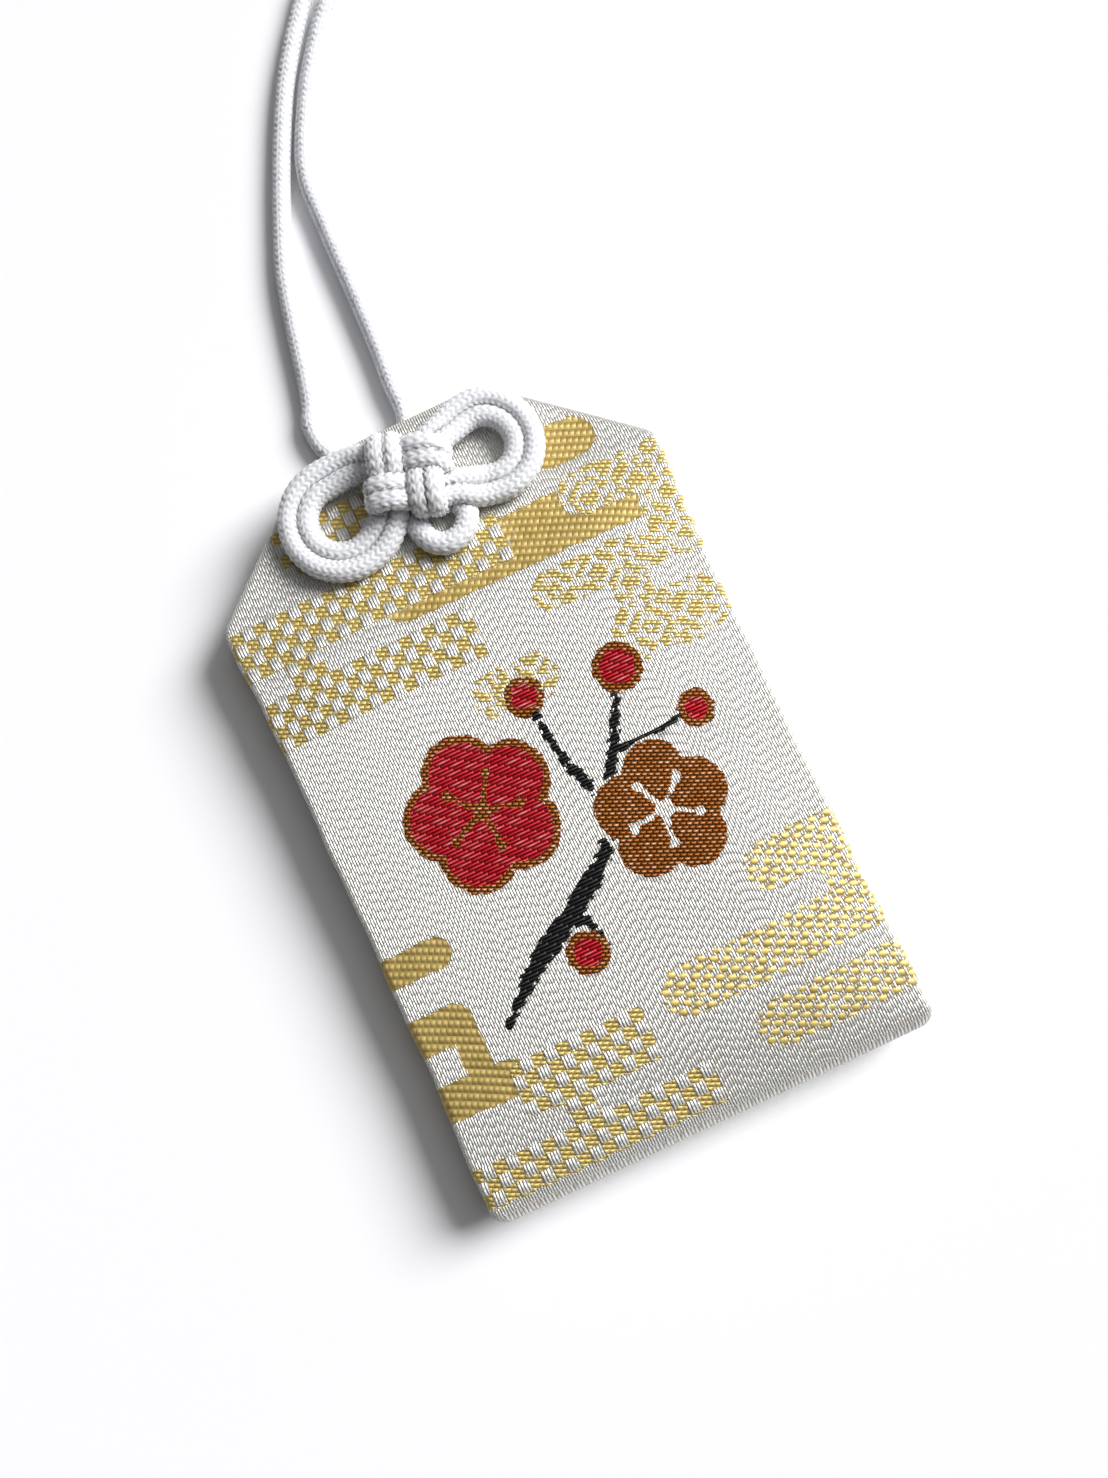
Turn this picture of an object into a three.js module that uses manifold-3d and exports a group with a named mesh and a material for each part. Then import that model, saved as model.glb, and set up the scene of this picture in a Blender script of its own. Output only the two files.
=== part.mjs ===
// Omamori charm: a padded brocade pouch, with a double kano knot on its front and a loop of cord to hang it by.
// Millimetres. The charm lies on its back: X across its width, Y up towards the loop, Z out of its front.
import * as THREE from 'three';
import Module from 'manifold-3d';
import { mergeVertices } from 'three/addons/utils/BufferGeometryUtils.js';

// Pouch
const pouch_width = 45;
const pouch_height = 74;
const top_edge_width = 17;
const shoulder_drop = 12.3;
const corner_round = 1.6;
const front_height = 6.2;       // top of the crowned front above the surface it lies on
const top_thickness = 2.9;      // pouch at its pinched top
const cloth_thickness = 0.6;
const edge_round = 3.4;         // how far in from the edge the front and back round over
const crown_reach = 18;         // how far in from the edge the crown keeps rising
const crown_share = 0.15;       // part of the rise that the crown makes
const seam_gap = 0.3;           // front and back meet here
const lift_starts_below = 18;   // the back leaves the surface this far below the top edge, to let the cord pass
const lift_ends_below = 6;
const slope_starts_below = 20;  // the front falls towards the pinched top from this far below the top edge
const slope_ends_below = 4;

// Filling
const clearance = 0.3;
const fill_margin = 4.5;        // card, wrapper and wadding stay this far inside the pouch's sides and bottom
const fill_below_lift = 0.5;    // and this far below the place where the back lifts
const card_thickness = 0.7;
const wrapper_margin = 4.5;     // wrapper stays this far inside the card's sides
const wrapper_drop = 3;         // and this far below the card's top
const paper_thickness = 0.3;
const slip_thickness = 0.6;
const slip_point = 4;           // height of the slip's pointed top
const wadding_margin = 0.5;     // wadding stays this far inside the card's sides
const wadding_thickness = 1.0;
const wadding_round = 4;
const fold_thickness = 0.5;
const fold_inset = 2.0;         // turned-in corners stay this far inside the shoulder edges
const thread_diameter = 0.4;
const seam_end_drop = 0.8;      // the seam stops this far below the shoulder

// Cord and knot
const cord_diameter = 2.0;
const knot_cord_diameter = 1.1; // drawn tight in the knot
const cord_pair_pitch = 2.3;    // the two cords side by side in the hole
const hole_x = -1.5;
const hole_below = 3.8;         // hole and knot, below the top edge
const knot_x = -0.5;
const knot_below = 6.5;
const inner_track = 1.45;       // knot's inner and outer cords, from the middle of the knot
const outer_track = 3.2;
const back_layer = 1.0;         // heights of the knot's three layers above the pouch
const under_layer = 2.8;
const over_layer = 5.0;
const ear_rest = 1.05;          // height of the ears' middle line above the pouch
const swing_above = 4;          // the loop hinges this far past the pouch's top edge
const cord_rest = 1.05;         // height of the free cord's middle line above the surface
const straight_run = 1.2;       // the cord runs straight this far either side of the loop's hinge

const wasm = await Module();
wasm.setup();

const y_bottom = -pouch_height / 2;
const y_top = pouch_height / 2;
const y_shoulder = y_top - shoulder_drop;
const lift_start = y_top - lift_starts_below;
const lift_end = y_top - lift_ends_below;
const hole_y = y_top - hole_below;
const knot_y = y_top - knot_below;
const swing_y = y_top + swing_above;
const cord_lift = cord_rest + cord_diameter / 2 + clearance;

const mix = THREE.MathUtils.lerp;
const ease = THREE.MathUtils.smoothstep;

// Heights of the pouch along its length
function backLevel(y) {
  return cord_lift * ease(y, lift_start, lift_end);
}

function frontLevel(y) {
  const top = cord_lift + top_thickness;
  return mix(front_height, top, ease(y, y_top - slope_starts_below, y_top - slope_ends_below));
}

function seamLevel(y) {
  return (backLevel(y) + frontLevel(y)) / 2;
}

// Share of the full rise that a surface has reached at a distance in from the edge
function rise(inset, round, share) {
  const rolled = 1 - Math.min(inset / round, 1);
  const crown = 1 - Math.min(inset / crown_reach, 1);
  return (1 - share) * Math.sqrt(1 - rolled * rolled) + share * (1 - crown * crown);
}

// Pouch outline, anticlockwise from the bottom left corner, moved inwards by a distance
const corners = [
  [-pouch_width / 2, y_bottom],
  [pouch_width / 2, y_bottom],
  [pouch_width / 2, y_shoulder],
  [top_edge_width / 2, y_top],
  [-top_edge_width / 2, y_top],
  [-pouch_width / 2, y_shoulder],
].map(([x, y]) => new THREE.Vector2(x, y));
const edge_cuts = [5, 8, 3, 4, 3, 8];

function insetCorners(inset) {
  return corners.map((corner, i) => {
    const before = corners[(i + corners.length - 1) % corners.length];
    const after = corners[(i + 1) % corners.length];
    const along = corner.clone().sub(before).normalize();
    const next = after.clone().sub(corner).normalize();
    const bisector = new THREE.Vector2(-along.y - next.y, along.x + next.x).normalize();
    const reach = inset / (bisector.x * -along.y + bisector.y * along.x);
    return corner.clone().addScaledVector(bisector, reach);
  });
}

function outlineRing(inset) {
  const points = insetCorners(inset);
  const ring = [];
  points.forEach((corner, i) => {
    const before = points[(i + points.length - 1) % points.length];
    const after = points[(i + 1) % points.length];
    const from = corner.clone().add(before.clone().sub(corner).setLength(corner_round));
    const to = corner.clone().add(after.clone().sub(corner).setLength(corner_round));
    const arc = new THREE.QuadraticBezierCurve(from, corner, to);
    ring.push(...arc.getPoints(2));
    const far = after.clone().add(corner.clone().sub(after).setLength(corner_round));
    for (let k = 1; k <= edge_cuts[i]; k += 1) {
      ring.push(to.clone().lerp(far, k / (edge_cuts[i] + 1)));
    }
  });
  return ring;
}

// Triangles between closed rings of points, with a point that closes the last ring
function ringsMesh(rings, caps, inside_out) {
  const count = rings[0].length;
  const positions = rings.flat().concat(caps).flatMap((p) => [p.x, p.y, p.z]);
  const triangles = [];
  const face = (a, b, c) => triangles.push(...(inside_out ? [a, c, b] : [a, b, c]));
  for (let k = 0; k + 1 < rings.length; k += 1) {
    for (let i = 0; i < count; i += 1) {
      const j = (i + 1) % count;
      const low = k * count;
      const high = low + count;
      face(low + i, low + j, high + j);
      face(low + i, high + j, high + i);
    }
  }
  const last = (rings.length - 1) * count;
  for (let i = 0; i < count; i += 1) {
    const j = (i + 1) % count;
    face(last + i, last + j, rings.length * count);
    face(j, i, rings.length * count + 1);
  }
  const geometry = new THREE.BufferGeometry();
  geometry.setAttribute('position', new THREE.Float32BufferAttribute(positions, 3));
  geometry.setIndex(triangles);
  return geometry;
}

// Cuts
function solid(geometry) {
  const bare = geometry.clone();
  bare.deleteAttribute('normal');
  bare.deleteAttribute('uv');
  const merged = mergeVertices(bare, 1e-4);
  const mesh = new wasm.Mesh({
    numProp: 3,
    vertProperties: new Float32Array(merged.attributes.position.array),
    triVerts: new Uint32Array(merged.index.array),
  });
  return new wasm.Manifold(mesh);
}

function cut(geometry, tool) {
  const mesh = solid(geometry).subtract(solid(tool)).getMesh();
  const result = new THREE.BufferGeometry();
  result.setAttribute('position', new THREE.Float32BufferAttribute(mesh.vertProperties, 3));
  result.setIndex([...mesh.triVerts]);
  return result;
}

function cordHole() {
  const half_width = (cord_pair_pitch + cord_diameter) / 2 + clearance;
  const half_height = cord_diameter / 2 + 1.5 * clearance;
  const straight = half_width - half_height;
  const slot = new THREE.Shape();
  slot.absarc(straight, 0, half_height, -Math.PI / 2, Math.PI / 2);
  slot.absarc(-straight, 0, half_height, Math.PI / 2, Math.PI * 1.5);
  const depth = front_height + 2 * cloth_thickness;
  const geometry = new THREE.ExtrudeGeometry(slot, { depth, bevelEnabled: false, curveSegments: 6 });
  return geometry.translate(hole_x, hole_y, -cloth_thickness);
}

// One cloth panel: an outer skin and, one cloth thickness inside it, an inner skin, joined by a rim at the seam
function panel(level, facing, share) {
  const rolled = [0, 0.1, 0.3, 0.6, 1].map((part) => part * edge_round);
  const crowned = [0.3, 0.6, 1].map((part) => mix(edge_round, crown_reach, part));
  const insets = [...rolled, ...crowned];
  const skin = (depth) => {
    const shrink = 1 - depth / crown_reach;
    const heightAt = (inset, y) => {
      const start = seamLevel(y) + facing * seam_gap / 2;
      const end = level(y) - facing * depth;
      return mix(start, end, rise(inset * shrink, edge_round * shrink, share));
    };
    const rings = insets.map((inset) => outlineRing(depth + inset * shrink)
      .map((p) => new THREE.Vector3(p.x, p.y, heightAt(inset, p.y))));
    const innermost = rings[rings.length - 1];
    const middle = innermost.reduce((sum, p) => sum.add(p), new THREE.Vector3()).divideScalar(innermost.length);
    middle.z = heightAt(crown_reach, middle.y);
    return { rings, middle };
  };
  const outer = skin(0);
  const inner = skin(cloth_thickness);
  const rings = [...inner.rings.reverse(), ...outer.rings];
  const geometry = ringsMesh(rings, [outer.middle, inner.middle], facing < 0);
  return cut(geometry, cordHole());
}

// Corner of the cloth turned in behind the shoulder edge: the outer corner mirrored over that edge
function cornerFold(side) {
  const [shoulder, top] = [insetCorners(fold_inset)[2], insetCorners(fold_inset)[3]];
  const edge = top.clone().sub(shoulder).normalize();
  const corner = new THREE.Vector2(shoulder.x, top.y);
  const to_corner = corner.clone().sub(shoulder);
  const mirrored = shoulder.clone().addScaledVector(edge, 2 * to_corner.dot(edge)).sub(to_corner);
  const outline = [shoulder, top, mirrored].map((p) => new THREE.Vector2(side * p.x, p.y));
  const ringAt = (offset) => outline.map((p) => new THREE.Vector3(p.x, p.y, seamLevel(p.y) + offset));
  const rings = [ringAt(-fold_thickness / 2), ringAt(fold_thickness / 2)];
  const middleOf = (ring) => new THREE.Vector3().add(ring[0]).add(ring[1]).add(ring[2]).divideScalar(3);
  return ringsMesh(rings, [middleOf(rings[1]), middleOf(rings[0])], side < 0);
}

// Filling, stacked from the back of the pouch to its front
const fill_bottom = y_bottom + fill_margin;
const card_width = pouch_width - 2 * fill_margin;
const card_length = lift_start - fill_below_lift - fill_bottom;
const wrapper_width = card_width - 2 * wrapper_margin;
const wrapper_length = card_length - wrapper_drop;
const card_z = cloth_thickness + clearance;
const wrapper_z = card_z + card_thickness + clearance;
const wrapper_depth = slip_thickness + 2 * clearance + 2 * paper_thickness;
const slip_z = wrapper_z + paper_thickness + clearance;
const wadding_z = wrapper_z + wrapper_depth + clearance;

function roundedPlate(width, length, round, depth, z) {
  const shape = new THREE.Shape();
  const x = width / 2;
  shape.moveTo(-x + round, 0);
  shape.absarc(x - round, round, round, -Math.PI / 2, 0);
  shape.absarc(x - round, length - round, round, 0, Math.PI / 2);
  shape.absarc(-x + round, length - round, round, Math.PI / 2, Math.PI);
  shape.absarc(-x + round, round, round, Math.PI, Math.PI * 1.5);
  const geometry = new THREE.ExtrudeGeometry(shape, { depth, bevelEnabled: false, curveSegments: 4 });
  return geometry.translate(0, fill_bottom, z);
}

function stiffenerCard() {
  return roundedPlate(card_width, card_length, corner_round, card_thickness, card_z);
}

function wadding() {
  const width = card_width - 2 * wadding_margin;
  return roundedPlate(width, card_length, wadding_round, wadding_thickness, wadding_z);
}

// Flat paper sleeve, open at both ends
function paperWrapper() {
  const x = wrapper_width / 2;
  const sleeve = new THREE.Shape();
  sleeve.moveTo(-x, 0).lineTo(x, 0).lineTo(x, wrapper_depth).lineTo(-x, wrapper_depth);
  const inside = new THREE.Path();
  const in_x = x - paper_thickness;
  const in_top = wrapper_depth - paper_thickness;
  inside.moveTo(-in_x, paper_thickness).lineTo(-in_x, in_top);
  inside.lineTo(in_x, in_top).lineTo(in_x, paper_thickness);
  sleeve.holes.push(inside);
  const geometry = new THREE.ExtrudeGeometry(sleeve, { depth: wrapper_length, bevelEnabled: false });
  return geometry.rotateX(Math.PI / 2).translate(0, fill_bottom + wrapper_length, wrapper_z);
}

// Thin wooden slip with a pointed top
function charmSlip() {
  const x = wrapper_width / 2 - paper_thickness - clearance;
  const low = fill_bottom + clearance;
  const high = fill_bottom + wrapper_length - clearance;
  const shape = new THREE.Shape();
  shape.moveTo(-x, low).lineTo(x, low).lineTo(x, high - slip_point);
  shape.lineTo(0, high).lineTo(-x, high - slip_point);
  const geometry = new THREE.ExtrudeGeometry(shape, { depth: slip_thickness, bevelEnabled: false });
  return geometry.translate(0, 0, slip_z);
}

// Round tubes along a route
function tube(points, diameter, sides, steps) {
  const section = new THREE.Shape();
  for (let k = 0; k < sides; k += 1) {
    const angle = (2 * Math.PI * k) / sides;
    const [x, y] = [Math.cos(angle) * diameter / 2, Math.sin(angle) * diameter / 2];
    if (k === 0) section.moveTo(x, y);
    else section.lineTo(x, y);
  }
  const extrudePath = new THREE.CatmullRomCurve3(points, false, 'centripetal');
  return new THREE.ExtrudeGeometry(section, { steps, extrudePath, bevelEnabled: false });
}

// Thread that sews front to back along both sides and the bottom
function seamThread() {
  const inset = cloth_thickness + clearance + thread_diameter / 2;
  const ends = insetCorners(inset);
  const turn = corner_round;
  const route = [
    [ends[5].x, ends[5].y - seam_end_drop],
    [ends[0].x, mix(ends[0].y, ends[5].y, 0.66)],
    [ends[0].x, mix(ends[0].y, ends[5].y, 0.33)],
    [ends[0].x, ends[0].y + 2 * turn],
    [ends[0].x, ends[0].y + turn],
    [ends[0].x + turn, ends[0].y],
    [ends[0].x + 2 * turn, ends[0].y],
    [0, ends[0].y],
  ];
  const mirrored = route.slice(0, -1).reverse().map(([x, y]) => [-x, y]);
  const points = [...route, ...mirrored].map(([x, y]) => new THREE.Vector3(x, y, seamLevel(y)));
  return tube(points, thread_diameter, 6, 60);
}

// Knot, in its own frame: x and y from its middle, z above the pouch's front
function onPouch([x, y, z]) {
  const world_y = knot_y + y;
  return new THREE.Vector3(knot_x + x, world_y, frontLevel(world_y) + z);
}

// An ear's turn at its resting height, as an arc of an ellipse
function earTurn(ear, turn, from, to) {
  const steps = 8;
  const points = [];
  for (let k = 0; k <= steps; k += 1) {
    const angle = THREE.MathUtils.degToRad(mix(from, to, k / steps));
    points.push([ear.x + turn.x * Math.cos(angle), ear.y + turn.y * Math.sin(angle), ear_rest]);
  }
  return points;
}

const left_ear = { x: -7.6, y: -1.7, inner: { x: 3.0, y: 3.1 }, outer: { x: 5.0, y: 5.0 } };
const small_loop = { x: 2.1, y: -6.5, turn: { x: 2.4, y: 1.7 } };
const right_ear = { x: 8.1, y: -0.2, inner: { x: 2.8, y: 3.0 }, outer: { x: 4.8, y: 5.0 } };
const [near, far] = [inner_track, outer_track];
const [back, under, over] = [back_layer, under_layer, over_layer];
const middle_layer = (under + over) / 2;
const dip = inner_track + 0.1;  // a cord changes layer between these, either side of the knot's middle lines
const entry = far + 1.6;        // a cord that wraps the knot's outer cord turns here
const in_hole = (side) => [hole_x - knot_x + side * cord_pair_pitch / 2, hole_y - knot_y];

// Cord out of the hole, round the top of the knot and down its left column
const downLeft = (x, side) => [
  [...in_hole(side), clearance + 0.1],
  [...in_hole(side), clearance + 0.4],
  [mix(in_hole(side)[0], x, 0.3), far + 0.2, back + 0.15],
  [mix(in_hole(side)[0], x, 0.6), far + 1.05, back + 0.5],
  [mix(in_hole(side)[0], x, 0.9), entry, under - 0.5],
  [x, entry, middle_layer],
  [x, far + 0.45, over - 0.1],
  [x, dip, over],
  [x, 0, middle_layer],
  [x, -dip, under],
  [x, -far, under],
];
// Cord along a top row, from under the left column to over the right column
const acrossTop = (y) => [
  [-far, y, under],
  [-dip, y, under],
  [0, y, middle_layer],
  [dip, y, over],
  [far, y, over],
  [far + 1.3, y - 0.35, over - 0.3],
  [far + 2.1, y - 0.7, middle_layer - 0.4],
  [far + 2.0, y - 0.8, under - 0.8],
];
// Cord along a bottom row, from over the left column to under the right column
const acrossBottom = (y) => [
  [-far - 2.0, y + 0.2, under - 0.8],
  [-far - 2.1, y + 0.1, middle_layer - 0.4],
  [-far - 1.3, y, over - 0.3],
  [-far, y, over],
  [-dip, y, over],
  [0, y, middle_layer],
  [dip, y, under],
  [far, y, under],
];
// Cord down the right column, from under the top rows to over the bottom rows
const downRight = (x) => [
  [x, far, under],
  [x, dip, under],
  [x, 0, middle_layer],
  [x, -dip, over],
  [x, -far - 0.45, over - 0.1],
  [x, -entry, middle_layer],
];
const reversed = (points) => [...points].reverse();

const bottom_loop = [
  [1.0, -5.3, 2.1],
  ...earTurn(small_loop, small_loop.turn, 150, 390),
  [3.2, -5.3, 2.1],
];

const knot_route = [
  ...downLeft(-far, -1),
  [-3.4, -4.2, 2.5],
  [-4.4, -4.8, 2.0],
  ...earTurn(left_ear, left_ear.inner, -75, -265),
  [-4.7, near, 2.3],
  ...acrossTop(near),
  [4.2, near - 0.9, back],
  [0, -1.05, back],
  [-4.2, -far + 0.3, back],
  ...acrossBottom(-far),
  [4.3, -3.5, 2.4],
  ...earTurn(right_ear, right_ear.outer, -115, 85),
  [6.4, 5.6, 1.5],
  [4.4, 6.05, 2.1],
  [2.5, 5.7, 2.6],
  [1.5, 4.7, 2.8],
  ...downRight(near),
  ...bottom_loop,
  ...reversed(downRight(far)),
  [3.5, 4.0, 2.75],
  [4.3, 4.4, 2.5],
  [5.5, 4.25, 1.9],
  [6.7, 3.7, 1.5],
  ...earTurn(right_ear, right_ear.inner, 80, -120),
  [4.5, -1.9, 2.4],
  ...reversed(acrossBottom(-near)),
  [-4.2, -near + 0.6, back],
  [0, 0.85, back],
  [4.2, far - 0.6, back],
  ...reversed(acrossTop(far)),
  [-4.7, far + 0.1, 2.3],
  ...earTurn(left_ear, left_ear.outer, 95, 285),
  [-4.6, -6.6, 1.3],
  [-2.8, -5.9, 1.8],
  [-1.7, -4.6, 2.5],
  ...reversed(downLeft(-near, 1)),
].map(onPouch);
const knot_steps = 300;

function leastSelfGap(points, diameter, skip) {
  const curve = new THREE.CatmullRomCurve3(points, false, 'centripetal');
  const count = 1500;
  const samples = curve.getSpacedPoints(count);
  const step = curve.getLength() / count;
  const apart = Math.ceil(skip / step);
  let least = Infinity;
  for (let i = 0; i < samples.length; i += 1) {
    for (let j = i + apart; j < samples.length; j += 1) {
      least = Math.min(least, samples[i].distanceTo(samples[j]));
    }
  }
  return least - diameter;
}
const along_cord = 3;           // points nearer than this along the cord are neighbours and aren't compared
const knot_gap = leastSelfGap(knot_route, knot_cord_diameter, along_cord);
console.log(`least gap of the knot's cord to itself: ${knot_gap.toFixed(2)} mm`);

// Cord from the front of the hole, under the pouch's top and out to the loop
const tail_routes = {
  left_cord_tail: [[0, -0.1, 3.6], [-0.1, 0.1, 2.4], [-0.9, 1.1, 1.35], [-2.3, 2.7, 1.05], [-3.8, 4.9, 1.05]],
  right_cord_tail: [[0, -0.1, 3.6], [0.05, 0.1, 2.4], [0.5, 1.2, 1.35], [1.3, 2.9, 1.05], [2.05, 4.9, 1.05]],
};
const loop_ends = { left_cord_tail: -7.15, right_cord_tail: 2.0 };

function cordTail(name, side) {
  const x = hole_x + side * cord_pair_pitch / 2;
  const points = tail_routes[name].map(([dx, dy, z]) => new THREE.Vector3(x + dx, hole_y + dy, z));
  const start = new THREE.Vector3(x, hole_y - 0.1, frontLevel(hole_y) + 0.05);
  const end_drops = [straight_run, clearance / 2];
  const ends = end_drops.map((drop) => new THREE.Vector3(loop_ends[name], swing_y - drop, cord_rest));
  return tube([start, ...points, ...ends], cord_diameter, 8, 14);
}

// Loop, from its left end round to its right end: x across, y from the hinge
const loop_route = [
  [-6.5, 2.6], [-5.8, 5.2], [-4.5, 11.3], [-3.2, 16.7], [-1.1, 22.2], [1, 27.1], [4.8, 34.9], [7.6, 39.4],
  [10.7, 43.6], [14.2, 48.2], [17.2, 53.6], [19.6, 59.6], [21.9, 65.8], [26.3, 69.8], [31, 68],
  [31.6, 62.6], [28.4, 57], [23.7, 52], [18, 47.2], [12.8, 42.1], [9.7, 38.1], [6.9, 33.8], [3.3, 26],
  [2.8, 19.5], [2.6, 12], [2.3, 4.8],
];

function hangingLoop() {
  const ends = [clearance / 2, straight_run];
  const starts = ends.map((y) => [loop_ends.left_cord_tail, y]);
  const returns = reversed(ends).map((y) => [loop_ends.right_cord_tail, y]);
  const route = [...starts, ...loop_route, ...returns];
  const points = route.map(([x, y]) => new THREE.Vector3(x, swing_y + y, cord_rest));
  return tube(points, cord_diameter, 8, 76);
}

// Assembly
const finishes = {
  brocade: new THREE.MeshStandardMaterial({ color: 0xebe6d8, roughness: 0.5, metalness: 0 }),
  cord: new THREE.MeshStandardMaterial({ color: 0xf2f2f5, roughness: 0.6, metalness: 0 }),
  card: new THREE.MeshStandardMaterial({ color: 0xcdbb98, roughness: 0.9, metalness: 0 }),
  paper: new THREE.MeshStandardMaterial({ color: 0xf4f1e8, roughness: 0.9, metalness: 0 }),
  cypress: new THREE.MeshStandardMaterial({ color: 0xd9bb86, roughness: 0.7, metalness: 0 }),
  wadding: new THREE.MeshStandardMaterial({ color: 0xf5f3ee, roughness: 1, metalness: 0 }),
  thread: new THREE.MeshStandardMaterial({ color: 0xf0ead8, roughness: 0.6, metalness: 0 }),
};

const charm = new THREE.Group();
function place(name, geometry, finish) {
  const mesh = new THREE.Mesh(geometry, finishes[finish]);
  mesh.name = name;
  charm.add(mesh);
}

place('front_panel', panel(frontLevel, 1, crown_share), 'brocade');
place('back_panel', panel(backLevel, -1, 0), 'brocade');
place('left_corner_fold', cornerFold(-1), 'brocade');
place('right_corner_fold', cornerFold(1), 'brocade');
place('seam_thread', seamThread(), 'thread');
place('stiffener_card', stiffenerCard(), 'card');
place('paper_wrapper', paperWrapper(), 'paper');
place('charm_slip', charmSlip(), 'cypress');
place('wadding', wadding(), 'wadding');
place('knot', tube(knot_route, knot_cord_diameter, 6, knot_steps), 'cord');
place('left_cord_tail', cordTail('left_cord_tail', -1), 'cord');
place('right_cord_tail', cordTail('right_cord_tail', 1), 'cord');
place('hanging_loop', hangingLoop(), 'cord');

export default charm;
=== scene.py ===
import math

import bpy
import numpy as np
from bpy.props import FloatProperty, FloatVectorProperty, PointerProperty
from mathutils import Matrix, Vector


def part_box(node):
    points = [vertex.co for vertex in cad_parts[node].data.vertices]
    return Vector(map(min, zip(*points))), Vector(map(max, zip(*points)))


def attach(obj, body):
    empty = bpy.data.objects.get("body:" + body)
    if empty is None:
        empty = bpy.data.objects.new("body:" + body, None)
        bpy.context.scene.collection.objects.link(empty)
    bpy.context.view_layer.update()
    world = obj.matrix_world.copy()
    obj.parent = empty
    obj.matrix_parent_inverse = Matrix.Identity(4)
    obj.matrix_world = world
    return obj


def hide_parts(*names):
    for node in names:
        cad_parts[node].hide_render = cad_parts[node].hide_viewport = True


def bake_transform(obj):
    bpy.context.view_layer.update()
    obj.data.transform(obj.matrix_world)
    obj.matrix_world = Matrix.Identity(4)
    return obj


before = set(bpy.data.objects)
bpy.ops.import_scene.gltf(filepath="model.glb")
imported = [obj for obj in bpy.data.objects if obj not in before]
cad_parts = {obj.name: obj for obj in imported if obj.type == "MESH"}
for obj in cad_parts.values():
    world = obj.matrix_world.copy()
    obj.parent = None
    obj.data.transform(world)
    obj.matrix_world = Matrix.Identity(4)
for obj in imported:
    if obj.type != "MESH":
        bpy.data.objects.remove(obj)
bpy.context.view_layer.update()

bl_info = {
    "name": "Omamori Charm",
    "version": (1, 0, 0),
    "blender": (4, 5, 0),
    "location": "3D View > Sidebar > Charm",
    "description": "Sews, ties and stages a brocade charm pouch with its knotted cord",
    "category": "Object",
}

MM = 0.001

# Photograph
IMAGE_WIDTH = 1108
FOCAL_PIXELS = 1300
SENSOR_WIDTH = 36
CAMERA_PLACE = (0.29, -12.47, 127.32)
CAMERA_LEAN = (-6.756, 0.553, 0.592)       # degrees about X, Y and Z, applied in that order
CAMERA_ROLL = 24.6                          # degrees that the charm's top leans to the left

# Light: degrees round from the charm's right, up from the floor, and across as the charm sees the lamp
LAMPS = {"window": (10, 36, 30), "ceiling": (18, 62, 60)}
ROOM_COLOUR = (0.92, 0.95, 1.0, 1.0)
FLOOR_SIZE = 4000
FLOOR_DROP = 0.03            # keeps the floor clear of the pouch's flat back

# Pouch, as in the part's source
LOW, HIGH = (np.array(corner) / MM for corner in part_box("front_panel"))
WIDTH = HIGH[0] - LOW[0]
HEIGHT = HIGH[1] - LOW[1]
TOP_EDGE = 17.0
SHOULDER_DROP = 12.3
CORNER_ROUND = 1.6
FRONT_HEIGHT = HIGH[2]
TOP_THICKNESS = 2.9
CORD_LIFT = 2.35
LIFT_BELOW = (18.0, 6.0)
SLOPE_BELOW = (20.0, 4.0)
Y_BOTTOM = -HEIGHT / 2
Y_TOP = HEIGHT / 2

# Cloth of the pouch, which is fuller than the solid
SIDE_ROUND = 0.8
END_ROUND = 2.2
SEAM_SHARE = 0.68            # how high up the edge the front and back meet
CROWN_REACH = 14
CROWN_SHARE = 0.38
SHOULDER_BLEND = 0.9
SIDE_OUT = 0.45              # how far the filling pushes the sides and shoulders past their seams
SIDE_LEAN = 0.012
SHOULDER_OUT = 1.2
CLOTH_SPACING = 0.25
SWELL_CAP = 0.5
SWELL_BELOW = (14, 8)        # below the knot's middle: where the swelling is whole, and where it ends
SIM_SPACING = 1.3
SIM_SCALE = 20
SIM_FRAMES = 20
SPREAD_PASSES = 12
EDGE_WAVES = ((0.06, 0.42, 1.3), (0.03, 0.95, 0))     # height, rate along the edge and start of each
PUFF_HEIGHT = 0.18
GOLD_SINK = 0.05
YARN_HEIGHTS = {"red": 0.08, "bronze": 0.1, "ink": 0.1}
YARN_EDGE = (-0.1, 0.3)      # how far inside its outline a figure starts to rise, and is at its height
HEM_TOP = -36.2
PATTERN = ("check", "gold", "rosette", "dotted", "red", "bronze", "ink")

# Cord and knot, as in the part's source
HOLE = np.array((-1.5, Y_TOP - 3.8))
KNOT = np.array((-0.5, Y_TOP - 6.5))
PAIR_PITCH = 2.3
NEAR, FAR = 1.45, 3.2
BACK_LAYER, UNDER_LAYER, OVER_LAYER = 1.0, 2.8, 5.0
MIDDLE_LAYER = (UNDER_LAYER + OVER_LAYER) / 2
EAR_REST = 1.05
CORD_REST = 1.05
SWING_Y = Y_TOP + 4.0
STRAIGHT_RUN = 1.2

# Knitting of the cord
KNIT_COLUMNS = 8
COLUMN_POINTS = 7
STITCH_LEAN = 0.7
STITCH_DEPTH = 0.22
CORD_STEP = 0.13


def smoothstep(value, low, high):
    """Rises smoothly from 0 at low to 1 at high."""
    t = np.clip((value - low) / (high - low), 0, 1)
    return t * t * (3 - 2 * t)


def mix(a, b, t):
    return a + (b - a) * t


def srgb(*channels):
    """A display colour, 0 to 255, as the linear colour that a shader takes."""
    scaled = [c / 255 for c in channels]
    return tuple(c / 12.92 if c <= 0.04045 else ((c + 0.055) / 1.055) ** 2.4 for c in scaled)


def front_level(y):
    top = CORD_LIFT + TOP_THICKNESS
    return mix(FRONT_HEIGHT, top, smoothstep(y, Y_TOP - SLOPE_BELOW[0], Y_TOP - SLOPE_BELOW[1]))


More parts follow.
